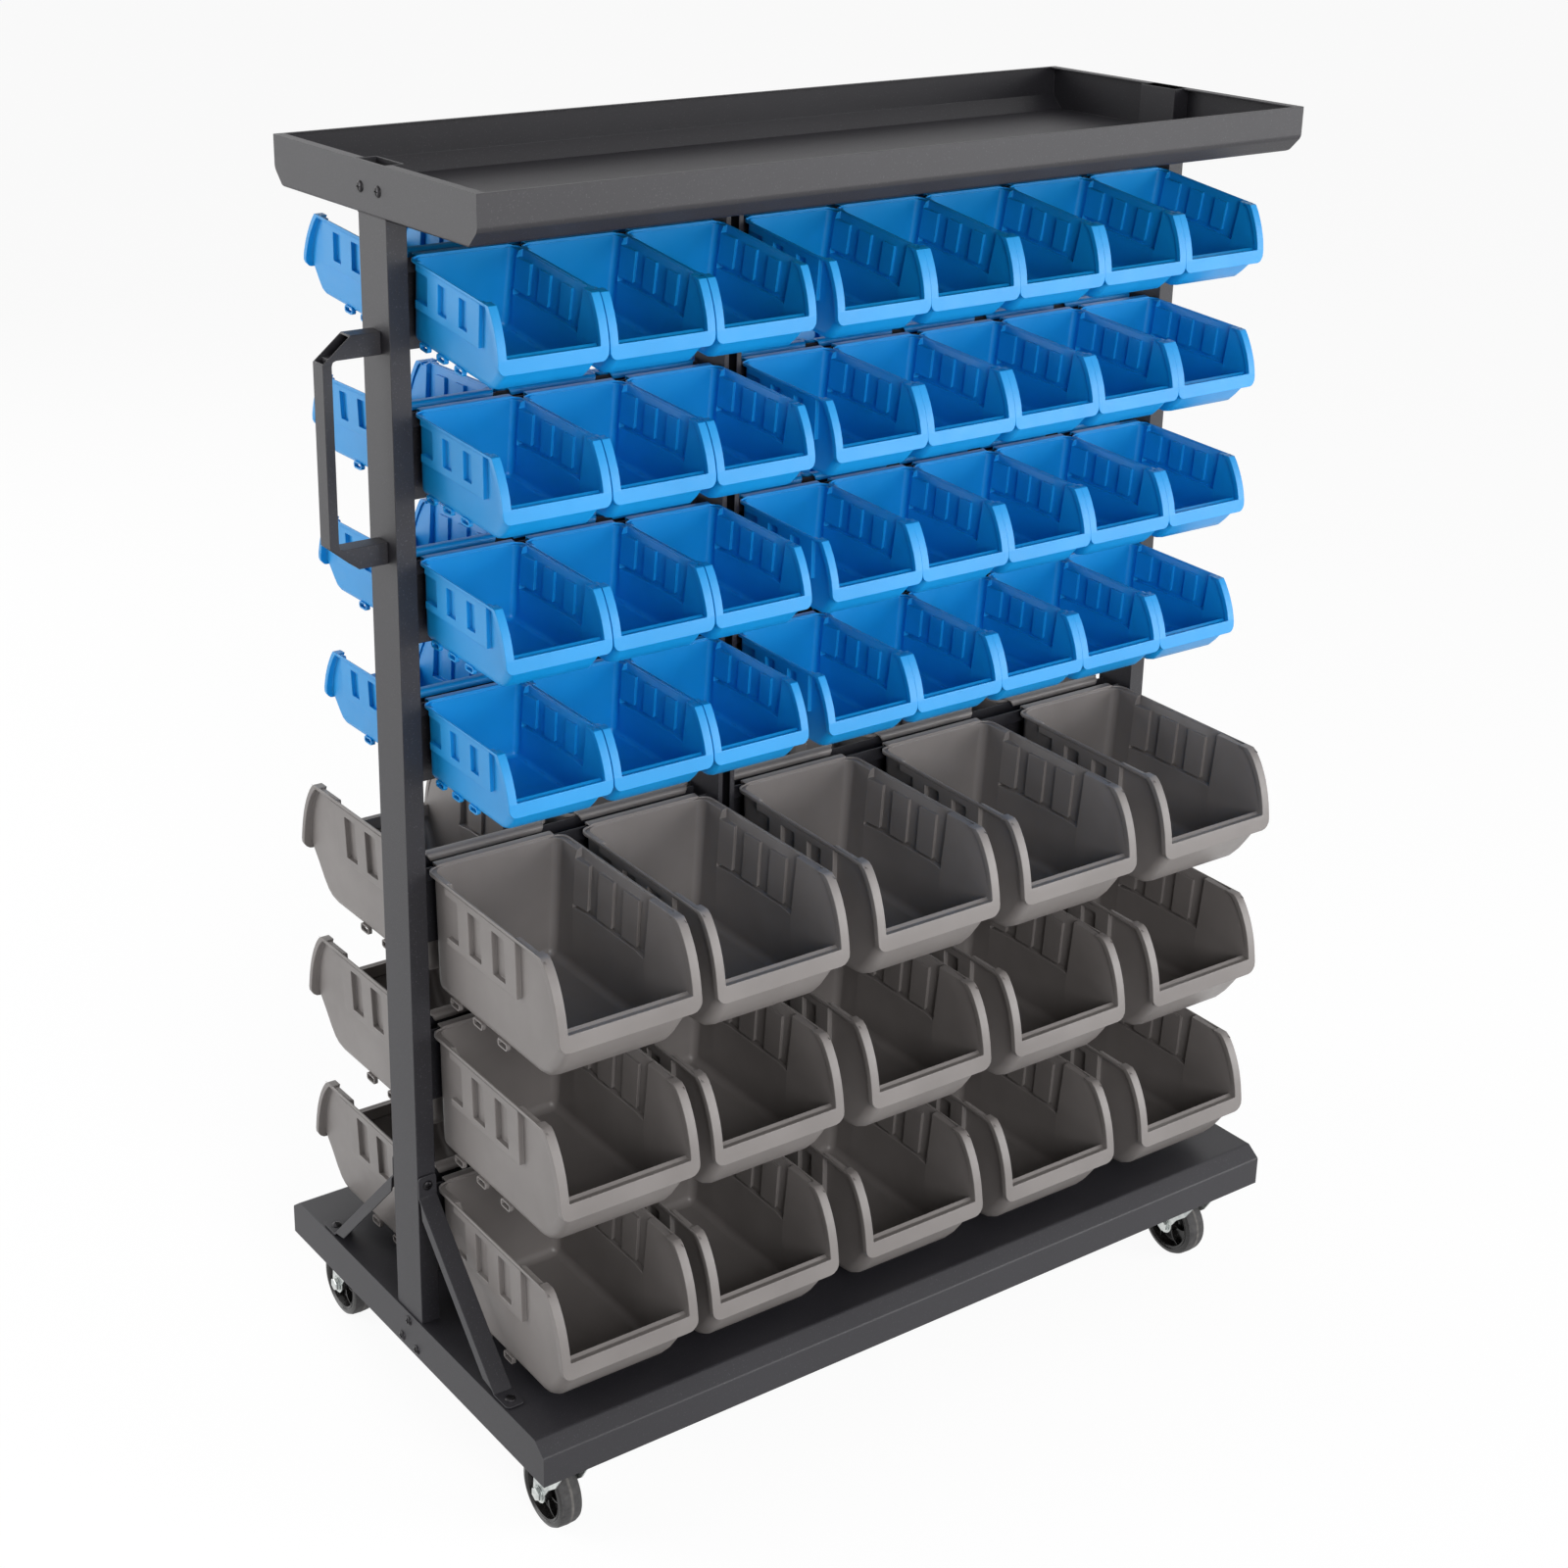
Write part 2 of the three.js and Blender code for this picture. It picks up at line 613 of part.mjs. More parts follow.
for (const [side, turn] of [["front", 0], ["back", Math.PI]]) {
  for (const [end, hand] of [["left", -1], ["right", 1]]) {
    const outward = turn > 0 ? -hand : hand;
    place(piece(`brace_${side}_${end}`, brace(outward), BLACK_STEEL), hand * POST_X, 0, DECK_TOP, turn);
    const corner = `${side}_${end}`;
    const x = hand * CASTER_X;
    const y = turn > 0 ? CASTER_Y : -CASTER_Y;
    place(piece(`caster_plate_${corner}`, casterPlate(), ZINC), x, y, 0);
    place(piece(`caster_fork_${corner}`, fork(), ZINC), x, y, 0);
    place(piece(`caster_axle_${corner}`, axle(), ZINC), x, y, 0);
    place(piece(`caster_wheel_${corner}`, wheel(), TREAD), x, y, 0);
  }
}

// Rows of bins. The bins of a row are one piece with the strip that carries them,
// apart from the first front bin of the top small row and of the top large row.
const bayCentres = BAYS.map((bay, i) => {
  const hand = i > 0 ? 1 : -1;
  return hand * (INNER_LENGTH - bayWidth(bay)) / 2;
});
const rowKinds = [
  { kind: "small", size: SMALL_BIN, nods: SMALL_NODS_DEG, top: TOP_SMALL_ROW, pitch: SMALL_PITCH },
  { kind: "large", size: LARGE_BIN, nods: LARGE_NODS_DEG, top: TOP_LARGE_ROW, pitch: LARGE_PITCH },
];
for (const { kind, size, nods, top, pitch } of rowKinds) {
  const finish = kind === "small" ? BLUE_PLASTIC : GREY_PLASTIC;
  const fixedBin = geometryOf(bin(size, false));
  const looseBin = geometryOf(bin(size, true));
  nods.forEach((nod, row) => {
    BAYS.forEach((bay, b) => {
      const places = kind === "small" ? smallPlaces(bay) : largePlaces(bay);
      for (const [side, turn] of [["front", 0], ["back", Math.PI]]) {
        const nodDeg = side === "front" ? nod : 0;
        const freed = side === "front" && row === 0 && b === 0 ? 1 : 0;
        const hung = places.slice(freed).map((x) => hungBin(fixedBin, x, nodDeg, 0));
        const height = top - row * pitch;
        const name = `${kind}_row_${row + 1}_${side}_${bay.name}`;
        place(piece(name, joined([strip(bayWidth(bay)), ...hung]), finish), bayCentres[b], 0, height, turn);
        if (freed) {
          const free = hungBin(looseBin, places[0], nodDeg, FIT + WELD);
          place(piece(`liftoff_${kind}_bin`, free, finish), bayCentres[b], 0, height, turn);
        }
      }
    });
  });
}

export default cart;
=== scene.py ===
"""Looks of a two-sided cart with hanging bins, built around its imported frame.

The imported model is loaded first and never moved. Each sub-assembly is a class that holds its
sizes in millimetres, models its pieces on a bench in edit mode and dresses them in procedural
finishes. All finished pieces are in metres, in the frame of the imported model.
"""

import logging
import math
from collections.abc import Callable, Sequence
from dataclasses import dataclass, field
from enum import Enum

import bmesh
import bpy
from mathutils import Matrix, Vector


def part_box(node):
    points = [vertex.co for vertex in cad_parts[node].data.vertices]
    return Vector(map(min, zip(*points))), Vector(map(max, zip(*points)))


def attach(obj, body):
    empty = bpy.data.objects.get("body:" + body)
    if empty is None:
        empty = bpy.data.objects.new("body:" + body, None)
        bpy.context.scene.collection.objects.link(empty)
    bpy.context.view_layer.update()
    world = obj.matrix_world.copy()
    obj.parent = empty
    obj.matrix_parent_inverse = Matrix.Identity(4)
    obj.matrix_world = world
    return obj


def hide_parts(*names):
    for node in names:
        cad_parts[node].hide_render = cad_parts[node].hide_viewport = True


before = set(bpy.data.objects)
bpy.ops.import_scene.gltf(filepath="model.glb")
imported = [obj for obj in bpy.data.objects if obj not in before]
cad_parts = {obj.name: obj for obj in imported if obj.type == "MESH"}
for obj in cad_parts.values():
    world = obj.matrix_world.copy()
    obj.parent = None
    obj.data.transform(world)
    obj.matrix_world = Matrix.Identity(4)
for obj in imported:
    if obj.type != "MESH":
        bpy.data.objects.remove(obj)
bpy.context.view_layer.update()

log = logging.getLogger("bin_cart")

MM = 0.001
METRES = Matrix.Scale(MM, 4)
MILLIMETRES = Matrix.Scale(1 / MM, 4)
TINY = 1e-3
SQUARE_ON = 0.9
UPRIGHT = 0.1
FLAT_ANGLE = 0.5

Pair = tuple[float, float]
Outline = Sequence[Pair]
Point = tuple[float, float, float]
Colour = tuple[float, float, float, float]
Noise = tuple[float, ...]
Part = bmesh.types.BMVert | bmesh.types.BMEdge | bmesh.types.BMFace

ORIGIN: Point = (0.0, 0.0, 0.0)
UP: Point = (0.0, 0.0, 1.0)
WHITE: Colour = (1.0, 1.0, 1.0, 1.0)


class Axis(Enum):
    """The axis that an outline is drawn across, with the two axes it is drawn in."""

    X = (1, 2, 0)
    Y = (0, 2, 1)
    Z = (0, 1, 2)

    def place(self, u: float, v: float, w: float = 0.0) -> Point:
        """Find a point from its places in the outline's plane and along the axis.

        Args:
            u: Its place along the plane's first axis.
            v: Its place along the second.
            w: Its place along the axis itself.

        Returns:
            The point.
        """
        spot = [0.0, 0.0, 0.0]
        for index, value in zip(self.value, (u, v, w), strict=True):
            spot[index] = value
        return tuple(spot)


class Element(Enum):
    """What is picked on the bench, with its list in a mesh."""

    VERT = "verts"
    EDGE = "edges"
    FACE = "faces"


class Slot(Enum):
    """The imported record's material slots."""

    STEEL = "black_steel"
    BLUE = "blue_plastic"
    GREY = "grey_plastic"
    ZINC = "zinc_plate"
    TREAD = "grey_tread"


class Bench:
    """One mesh on the bench, in millimetres, shaped with Blender's own operators."""

    def __init__(self, name: str) -> None:
        """Put a single vertex on the bench, at the origin.

        Args:
            name: The piece's name.
        """
        bpy.ops.object.select_all(action="DESELECT")
        bpy.ops.mesh.primitive_plane_add(size=1.0)
        self.piece = bpy.context.object
        self.piece.name = name
        bpy.ops.object.mode_set(mode="EDIT")
        bpy.ops.mesh.select_mode(type="VERT")
        bpy.ops.mesh.merge(type="CENTER")

    @classmethod
    def copy_of(cls, node: str, name: str) -> "Bench":
        """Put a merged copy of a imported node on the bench.

        Args:
            node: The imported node.
            name: The copy's name.

        Returns:
            The bench, in edit mode, with flat faces made whole.
        """
        bench = cls.__new__(cls)
        bpy.ops.object.select_all(action="DESELECT")
        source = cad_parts[node]
        bench.piece = bpy.data.objects.new(name, source.data.copy())
        bench.piece.data.transform(MILLIMETRES)
        bpy.context.scene.collection.objects.link(bench.piece)
        bpy.context.view_layer.objects.active = bench.piece
        bench.piece.select_set(True)
        bpy.ops.object.mode_set(mode="EDIT")
        bpy.ops.mesh.select_all(action="SELECT")
        bpy.ops.mesh.remove_doubles(threshold=TINY)
        bpy.ops.mesh.dissolve_limited(angle_limit=math.radians(FLAT_ANGLE))
        return bench

    def trace(self, outline: Outline, axis: Axis, w: float = 0.0, closed: bool = True) -> None:
        """Draw an outline with the last vertex, step by step, and fill it.

        Args:
            outline: Its corners, in the axis's plane.
            axis: The axis that it is drawn across.
            w: Its place along that axis.
            closed: Whether the outline becomes a face.
        """
        spots = [Vector(axis.place(u, v, w)) for u, v in outline]
        bpy.ops.transform.translate(value=spots[0])
        for before, after in zip(spots, spots[1:]):
            self.extrude(after - before)
        if closed:
            bpy.ops.mesh.select_all(action="SELECT")
            bpy.ops.mesh.edge_face_add()

    def extrude(self, step: Sequence[float]) -> None:
        """Extrude what is selected by a step."""
        bpy.ops.mesh.extrude_region_move(TRANSFORM_OT_translate={"value": tuple(step)})

    def prism(self, outline: Outline, axis: Axis, start: float, depth: float) -> None:
        """Draw an outline and draw it out along the axis that it lies across.

        Args:
            outline: Its corners, in the axis's plane.
            axis: The axis.
            start: The first end's place along it.
            depth: How far the other end lies, with its sign.
        """
        self.trace(outline, axis, start)
        self.extrude(axis.place(0.0, 0.0, depth))
        self.point_outwards()

    def turn(self, outline: Outline, steps: int, centre: Point = ORIGIN, axis: Point = UP) -> None:
        """Draw an open outline across Y and turn it once round an axis.

        Args:
            outline: Its points along X and Z.
            steps: How many steps make the turn.
            centre: A point on the axis.
            axis: The axis's direction.
        """
        self.trace(outline, Axis.Y, closed=False)
        bpy.ops.mesh.select_all(action="SELECT")
        bpy.ops.mesh.spin(
            steps=steps, angle=math.tau, center=centre, axis=axis, use_auto_merge=True
        )
        self.point_outwards()

    def swell(self, height: float, flaps: bool = False) -> None:
        """Extrude the selected faces outwards along their normals.

        Args:
            height: How far.
            flaps: Whether the strips along the sheet's open edges stay.
        """
        bpy.ops.mesh.extrude_region_shrink_fatten(TRANSFORM_OT_shrink_fatten={"value": height})
        if not flaps:
            self.drop_flaps()

    def drop_flaps(self) -> None:
        """Delete the strips that an extrusion of faces leaves along the sheet's open edges."""
        mesh = bmesh.from_edit_mesh(self.piece.data)
        flaps = [
            face for face in mesh.faces
            if not face.select
            and any(edge.is_boundary for edge in face.edges)
            and any(other.select for edge in face.edges for other in edge.link_faces)
        ]
        bmesh.ops.delete(mesh, geom=flaps, context="FACES")
        bmesh.update_edit_mesh(self.piece.data)

    def flatten(self, wanted: Callable[[Vector], bool], axis: int, place: float) -> None:
        """Press the vertices that a test wants onto a plane square to an axis.

        Args:
            wanted: The test, given a vertex's place.
            axis: 0, 1 or 2.
            place: The plane's place along it.
        """
        self.pick_vertices(wanted)
        scale, centre = [1.0, 1.0, 1.0], [0.0, 0.0, 0.0]
        scale[axis], centre[axis] = 0.0, place
        bpy.ops.transform.resize(value=scale, center_override=centre)

    def _choose(self, element: Element, wanted: Callable[[Part], bool]) -> int:
        """Select the elements that a test wants, and no others.

        Args:
            element: What the test is given.
            wanted: The test.

        Returns:
            How many elements it wants.
        """
        bpy.ops.mesh.select_mode(type=element.name)
        bpy.ops.mesh.select_all(action="DESELECT")
        mesh = bmesh.from_edit_mesh(self.piece.data)
        if element is Element.FACE:
            mesh.normal_update()
        found = [part for part in getattr(mesh, element.value) if wanted(part)]
        for part in found:
            part.select_set(True)
        mesh.select_flush_mode()
        bmesh.update_edit_mesh(self.piece.data)
        return len(found)

    def pick(self, wanted: Callable[[bmesh.types.BMFace], bool]) -> int:
        """Select the faces that a test wants, and return how many they are."""
        return self._choose(Element.FACE, wanted)

    def pick_edges(self, wanted: Callable[[Vector, Vector], bool]) -> int:
        """Select the edges whose two ends a test wants, and return how many they are."""
        return self._choose(Element.EDGE, lambda edge: wanted(*(v.co for v in edge.verts)))

    def pick_vertices(self, wanted: Callable[[Vector], bool]) -> int:
        """Select the vertices whose places a test wants, and return how many they are."""
        return self._choose(Element.VERT, lambda vertex: wanted(vertex.co))

    def cut(self, axis: int, places: Sequence[float]) -> None:
        """Bisect what is selected by planes square to an axis, keeping it selected.

        Args:
            axis: 0, 1 or 2.
            places: The planes' places along it.
        """
        normal = [0.0, 0.0, 0.0]
        normal[axis] = 1.0
        for place in places:
            mesh = bmesh.from_edit_mesh(self.piece.data)
            layer = mesh.faces.layers.int.new("picked")
            for face in mesh.faces:
                face[layer] = int(face.select)
            bpy.ops.mesh.bisect(plane_co=[n * place for n in normal], plane_no=normal)
            bpy.ops.mesh.select_mode(type="FACE")
            mesh = bmesh.from_edit_mesh(self.piece.data)
            layer = mesh.faces.layers.int["picked"]
            for face in mesh.faces:
                face.select_set(bool(face[layer]))
            mesh.faces.layers.int.remove(layer)
            mesh.select_flush_mode()
            bmesh.update_edit_mesh(self.piece.data)

    def picked_vertices(self) -> list[bmesh.types.BMVert]:
        """Return the selected vertices."""
        return [vertex for vertex in bmesh.from_edit_mesh(self.piece.data).verts if vertex.select]

    def round_picked(self, radius: float, segments: int) -> None:
        """Bevel the selected edges round."""
        bpy.ops.mesh.bevel(offset=radius, segments=segments, affect="EDGES", clamp_overlap=False)

    def drop_picked(self) -> None:
        """Delete the selected faces."""
        bpy.ops.mesh.delete(type="FACE")

    def point_outwards(self) -> None:
        """Merge doubles and turn every face outwards."""
        bpy.ops.mesh.select_all(action="SELECT")
        bpy.ops.mesh.remove_doubles(threshold=TINY)
        bpy.ops.mesh.normals_make_consistent(inside=False)

    def put_in_order(self) -> None:
        """Sort the mesh's parts by place, since the operators leave them in any order."""
        mesh = bmesh.from_edit_mesh(self.piece.data)
        spots = sorted(mesh.verts, key=lambda vertex: [round(c, 3) for c in vertex.co])
        rank = {vertex: number for number, vertex in enumerate(spots)}
        mesh.verts.sort(key=rank.get)
        for parts in (mesh.edges, mesh.faces):
            ordered = sorted(parts, key=lambda part: sorted(rank[v] for v in part.verts))
            turn = {part: number for number, part in enumerate(ordered)}
            parts.sort(key=turn.get)
        bmesh.update_edit_mesh(self.piece.data)

    def modifier(self, kind: str, **settings: object) -> None:
        """Add a modifier, apply it and go back to edit mode.

        Args:
            kind: The modifier's type.
            **settings: Its settings.
        """
        bpy.ops.object.mode_set(mode="OBJECT")
        added = self.piece.modifiers.new(kind.title(), kind)
        for name, value in settings.items():
            setattr(added, name, value)
        bpy.ops.object.modifier_apply(modifier=added.name)
        bpy.ops.object.mode_set(mode="EDIT")

    def soften(
        self, radius: float, segments: int = 2, angle: float = 30.0, clamp: bool = True
    ) -> None:
        """Round every edge that turns more than an angle.

        Args:
            radius: How far the rounding reaches from the edge.
            segments: How many faces it has.
            angle: The least turn, in degrees.
            clamp: Whether the rounding shrinks where it would overlap.
        """
        self.modifier(
            "BEVEL",
            width=radius,
            segments=segments,
            limit_method="ANGLE",
            angle_limit=math.radians(angle),
            use_clamp_overlap=clamp,
            miter_outer="MITER_ARC",
        )

    def finish(self, smooth_angle: float = 40.0) -> bpy.types.Object:
        """Take the piece off the bench, in metres and smooth shaded.

        Args:
            smooth_angle: Faces that meet flatter than this are shaded as one.

        Returns:
            The piece, at the origin.
        """
        bpy.ops.mesh.select_all(action="DESELECT")
        bpy.ops.object.mode_set(mode="OBJECT")
        self.piece.data.transform(METRES)
        bpy.ops.object.select_all(action="DESELECT")
        bpy.context.view_layer.objects.active = self.piece
        self.piece.select_set(True)
        bpy.ops.object.shade_smooth_by_angle(angle=math.radians(smooth_angle))
        keep_faces_flat(self.piece)
        return self.piece


def keep_faces_flat(piece: bpy.types.Object) -> None:
    """Weight the shading by area, so that only the small faces of an edge take its curve."""
    piece.modifiers.new("Flat", "WEIGHTED_NORMAL").keep_sharp = True
    bpy.ops.object.modifier_apply(modifier="Flat")


def joined(pieces: Sequence[bpy.types.Object], name: str) -> bpy.types.Object:
    """Join finished pieces into one.

    Args:
        pieces: The pieces.
        name: The joined piece's name.

    Returns:
        The joined piece.
    """
    bpy.ops.object.select_all(action="DESELECT")
    for piece in pieces:
        piece.select_set(True)
    bpy.context.view_layer.objects.active = pieces[0]
    bpy.ops.object.join()
    pieces[0].name = name
    return pieces[0]


def copied(piece: bpy.types.Object, name: str, matrix: Matrix) -> bpy.types.Object:
    """Copy a finished piece, with a mesh of its own, to a place.

    Args:
        piece: The piece.
        name: The copy's name.
        matrix: The place, in metres.

    Returns:
        The copy, at the origin with its place in its mesh.
    """
    twin = piece.copy()
    twin.data = piece.data.copy()
    twin.name = name
    twin.data.name = name
    twin.data.transform(matrix)
    bpy.context.scene.collection.objects.link(twin)
    return twin


def cleared(piece: bpy.types.Object) -> None:
    """Remove a pattern piece whose copies are all made."""
    bpy.data.objects.remove(piece)


def curve(points: Outline, steps: int) -> list[Pair]:
    """Draw a smooth line through points.

    Args:
        points: The points.
        steps: How many steps lead from one point to the next.

    Returns:
        The line's points, ends included.
    """
    spots = [Vector(p) for p in points]
    padded = [2 * spots[0] - spots[1], *spots, 2 * spots[-1] - spots[-2]]
    line = []
    for a, b, c, d in zip(padded, padded[1:], padded[2:], padded[3:]):
        for step in range(steps):
            t = step / steps
            spot = 0.5 * (
                2 * b + (c - a) * t + (2 * a - 5 * b + 4 * c - d) * t**2
                + (3 * b - a - 3 * c + d) * t**3
            )
            line.append((spot.x, spot.y))
    line.append((spots[-1].x, spots[-1].y))
    return line


def arc(
    centre: Pair, radius: float, start: float, end: float, steps: int
) -> list[Pair]:
    """Return the points of an arc.

    Args:
        centre: Its centre.
        radius: Its radius.
        start: Its first angle, in degrees.
        end: Its last angle, in degrees.
        steps: How many steps it has.

    Returns:
        Its points, ends included.
    """
    turns = [math.radians(start + (end - start) * i / steps) for i in range(steps + 1)]
    return [(centre[0] + radius * math.cos(t), centre[1] + radius * math.sin(t)) for t in turns]


def rounded(reach: Pair, radius: float, steps: int) -> list[Pair]:
    """Return the outline of a rectangle with round corners, about its middle.

    Args:
        reach: Half its two sides.
        radius: Its corners' radius.
        steps: How many steps each corner has.

    Returns:
        Its points.
    """
    outline = []
    for quarter, (u, v) in enumerate(((1, 1), (-1, 1), (-1, -1), (1, -1))):
        centre = (u * (reach[0] - radius), v * (reach[1] - radius))
        outline += arc(centre, radius, 90.0 * quarter, 90.0 * (quarter + 1), steps)
    return outline


def middle_of_deck() -> float:
    """Return the place along Y that the cart's two sides mirror about, in millimetres."""
    low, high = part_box("base_deck")
    return (low.y + high.y) / 2 / MM


def stand_in(piece: bpy.types.Object, body: str, node: str) -> None:
    """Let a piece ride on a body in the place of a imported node."""
    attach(piece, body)
    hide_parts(node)


class Value:
    """A number, colour or shader inside a graph, on which arithmetic adds Math nodes."""

    def __init__(self, graph: "Graph", socket: bpy.types.NodeSocket) -> None:
        """Wrap a socket of a graph."""
        self.graph = graph
        self.socket = socket

    def _math(self, operation: str, left: object, right: object) -> "Value":
        """Return a Math node's result."""
        return self.graph.node("ShaderNodeMath", {"operation": operation}, {0: left, 1: right})

    def __add__(self, other: object) -> "Value":
        """Return the sum."""
        return self._math("ADD", self, other)

    __radd__ = __add__

    def __mul__(self, other: object) -> "Value":
        """Return the product."""
        return self._math("MULTIPLY", self, other)

    __rmul__ = __mul__

    def __or__(self, other: object) -> "Value":
        """Return the larger of the two."""
        return self._math("MAXIMUM", self, other)

    __ror__ = __or__


class Graph:
    """The nodes of a material or of the world."""

    def __init__(self, owner: bpy.types.Material | bpy.types.World) -> None:
        """Open the owner's tree."""
        owner.use_nodes = True
        self.tree = owner.node_tree

    def node(self, kind: str, settings: dict, inputs: dict, output: int | str = 0) -> Value:
        """Add a node.

        Args:
            kind: The node's type.
            settings: Its settings.
            inputs: Numbers, colours or Values for its sockets, by name or index.
            output: The socket that is returned.

        Returns:
            That socket.
        """
        made = self.tree.nodes.new(kind)
        for name, value in settings.items():
            setattr(made, name, value)
        for name, value in inputs.items():
            self.feed(made.inputs[name], value)
        return Value(self, made.outputs[output])

    def feed(self, socket: bpy.types.NodeSocket, value: object) -> None:
        """Link a Value to a socket, or set the socket to a constant.

        Args:
            socket: The socket.
            value: The Value, or the number or colour.
        """
        if isinstance(value, Value):
            self.tree.links.new(value.socket, socket)
        else:
            socket.default_value = value

    def ray(self, kind: str) -> Value:
        """Return 1 where a kind of ray looks, and 0 for any other ray."""
        return self.node("ShaderNodeLightPath", {}, {}, f"Is {kind} Ray")


class Recipe(Graph):
    """The nodes of one finish, round a Principled shader."""

    def __init__(self, name: str) -> None:
        """Start a material.

        Args:
            name: Its name.
        """
        self.material = bpy.data.materials.new(name)
        super().__init__(self.material)
        self.shader = self.tree.nodes["Principled BSDF"]

    def noise(self, scale: float, detail: float = 2.0, roughness: float = 0.5) -> Value:
        """Add a noise over the object's own space.

        Args:
            scale: Its lumps per metre.
            detail: How many finer layers it has.
            roughness: How strong they are.

        Returns:
            The noise, from 0 to 1.
        """
        spot = self.node("ShaderNodeTexCoord", {}, {}, "Object")
        inputs = {"Vector": spot, "Scale": scale, "Detail": detail, "Roughness": roughness}
        return self.node("ShaderNodeTexNoise", {}, inputs, "Fac")

    def band(self, value: Value, low: float, high: float) -> Value:
        """Return a value spread from 0 at low to 1 at high."""
        inputs = {"Value": value, "From Min": low, "From Max": high}
        return self.node("ShaderNodeMapRange", {}, inputs)

    def mix(self, share: Value, first: Value | Colour, second: Value | Colour) -> Value:
        """Return a mix of two colours."""
        inputs = {"Factor": share, 6: first, 7: second}
        return self.node("ShaderNodeMix", {"data_type": "RGBA"}, inputs, 2)

    def bump(self, height: Value, depth: float, strength: float = 1.0) -> None:
        """Raise the surface by a height, with a depth in metres."""
        inputs = {"Height": height, "Distance": depth, "Strength": strength}
        self.set(Normal=self.node("ShaderNodeBump", {}, inputs))

    def set(self, **sockets: object) -> None:
        """Set the shader's sockets, with underscores for the spaces in their names."""
        for name, value in sockets.items():
            self.feed(self.shader.inputs[name.replace("_", " ")], value)


def colour(red: int, green: int, blue: int) -> Colour:
    """Turn a screen colour into a linear one.

    Args:
        red: Its red, from 0 to 255.
        green: Its green.
        blue: Its blue.

    Returns:
        The linear colour.
    """
    def linear(part: int) -> float:
        """Return one channel's light, by the screen's own curve."""
        share = part / 255
        return share / 12.92 if share <= 0.04045 else ((share + 0.055) / 1.055) ** 2.4

    return (linear(red), linear(green), linear(blue), 1.0)


@dataclass(frozen=True)
class PowderCoat:
    """Charcoal powder coat with a fine grain and pale specks.

    Attributes:
        grain: The grain's lumps per metre, their detail and its roughness.
        clouds: The same for the large patches.
        specks: The same for the specks.
        cloud_share: How much of the colour's change comes from the patches.
        tones: The noise's values between which the dark turns light.
        speck_edge: The noise's values between which a speck comes up.
        speck_share: How much of a speck's colour shows.
        gloss: The least roughness, and how much the grain adds to it.
        relief: The grain's depth in metres, and its strength.
    """

    name: str = "charcoal_powder_coat"
    dark: Colour = colour(33, 32, 36)
    light: Colour = colour(42, 41, 46)
    speck: Colour = colour(70, 68, 74)
    grain: Noise = (1400.0, 3.0, 0.65)
    clouds: Noise = (7.0, 2.0)
    specks: Noise = (700.0, 0.0)
    cloud_share: float = 0.3
    tones: Pair = (0.3, 0.7)
    speck_edge: Pair = (0.72, 0.78)
    speck_share: float = 0.6
    gloss: Pair = (0.4, 0.16)
    specular: float = 0.45
    relief: Pair = (0.00022, 0.5)

    def make(self) -> bpy.types.Material:
        """Mix the grain, the clouds and the specks.

        Returns:
            The material.
        """
        recipe = Recipe(self.name)
        grain, clouds = recipe.noise(*self.grain), recipe.noise(*self.clouds)
        tone = grain * (1.0 - self.cloud_share) + clouds * self.cloud_share
        body = recipe.mix(recipe.band(tone, *self.tones), self.dark, self.light)
        specks = recipe.band(recipe.noise(*self.specks), *self.speck_edge)
        recipe.set(
            Base_Color=recipe.mix(specks * self.speck_share, body, self.speck),
            Roughness=self.gloss[0] + grain * self.gloss[1],
            Specular_IOR_Level=self.specular,
        )
        recipe.bump(grain, *self.relief)
        return recipe.material


@dataclass(frozen=True)
class Patchy:
    """A finish of two colours in soft patches.

    Attributes:
        patches: The patches' lumps per metre, their detail and, unless it is 0.5, its roughness.
        scuffs: The same for what roughens the gloss, or nothing where the patches do.
        skin: The same for the relief, or nothing where the patches raise it.
        tones: The patches' values between which the dark turns pale.
        gloss: The least roughness, and how much the scuffs add to it.
        relief: The skin's depth in metres, and its strength.
        metallic: 1 for bare metal, 0 for none.
    """

    name: str
    dark: Colour
    pale: Colour
    patches: Noise = (300.0, 2.0)
    scuffs: Noise = ()
    skin: Noise = ()
    tones: Pair = (0.4, 0.7)
    gloss: Pair = (0.2, 0.12)
    relief: Pair = (0.00006, 0.4)
    metallic: float = 0.0

    def make(self) -> bpy.types.Material:
        """Mix the two colours, then roughen and raise the surface.

        Returns:
            The material.
        """
        recipe = Recipe(self.name)
        patches = recipe.noise(*self.patches)
        scuffs = recipe.noise(*self.scuffs) if self.scuffs else patches
        skin = recipe.noise(*self.skin) if self.skin else patches
        recipe.set(
            Base_Color=recipe.mix(recipe.band(patches, *self.tones), self.dark, self.pale),
            Metallic=self.metallic,
            Roughness=self.gloss[0] + scuffs * self.gloss[1],
        )
        recipe.bump(skin, *self.relief)
        return recipe.material


@dataclass(frozen=True)
class MouldedPlastic(Patchy):
    """Satin moulded plastic, a little cloudy, with a fine eroded skin."""

    patches: Noise = (11.0, 3.0)
    scuffs: Noise = (60.0, 2.0)
    skin: Noise = (1500.0, 2.0)
    tones: Pair = (0.3, 0.7)
    gloss: Pair = (0.34, 0.12)
    relief: Pair = (0.00008, 0.5)


@dataclass(frozen=True)
class ZincPlate(Patchy):
    """Bright zinc plating with soft milky patches."""

    name: str = "zinc_plating"
    dark: Colour = colour(188, 193, 192)
    pale: Colour = colour(222, 225, 222)
    patches: Noise = (120.0, 3.0)
    skin: Noise = (900.0, 2.0)
    tones: Pair = (0.35, 0.65)
    gloss: Pair = (0.24, 0.2)
    relief: Pair = (0.00005, 0.4)
    metallic: float = 0.85


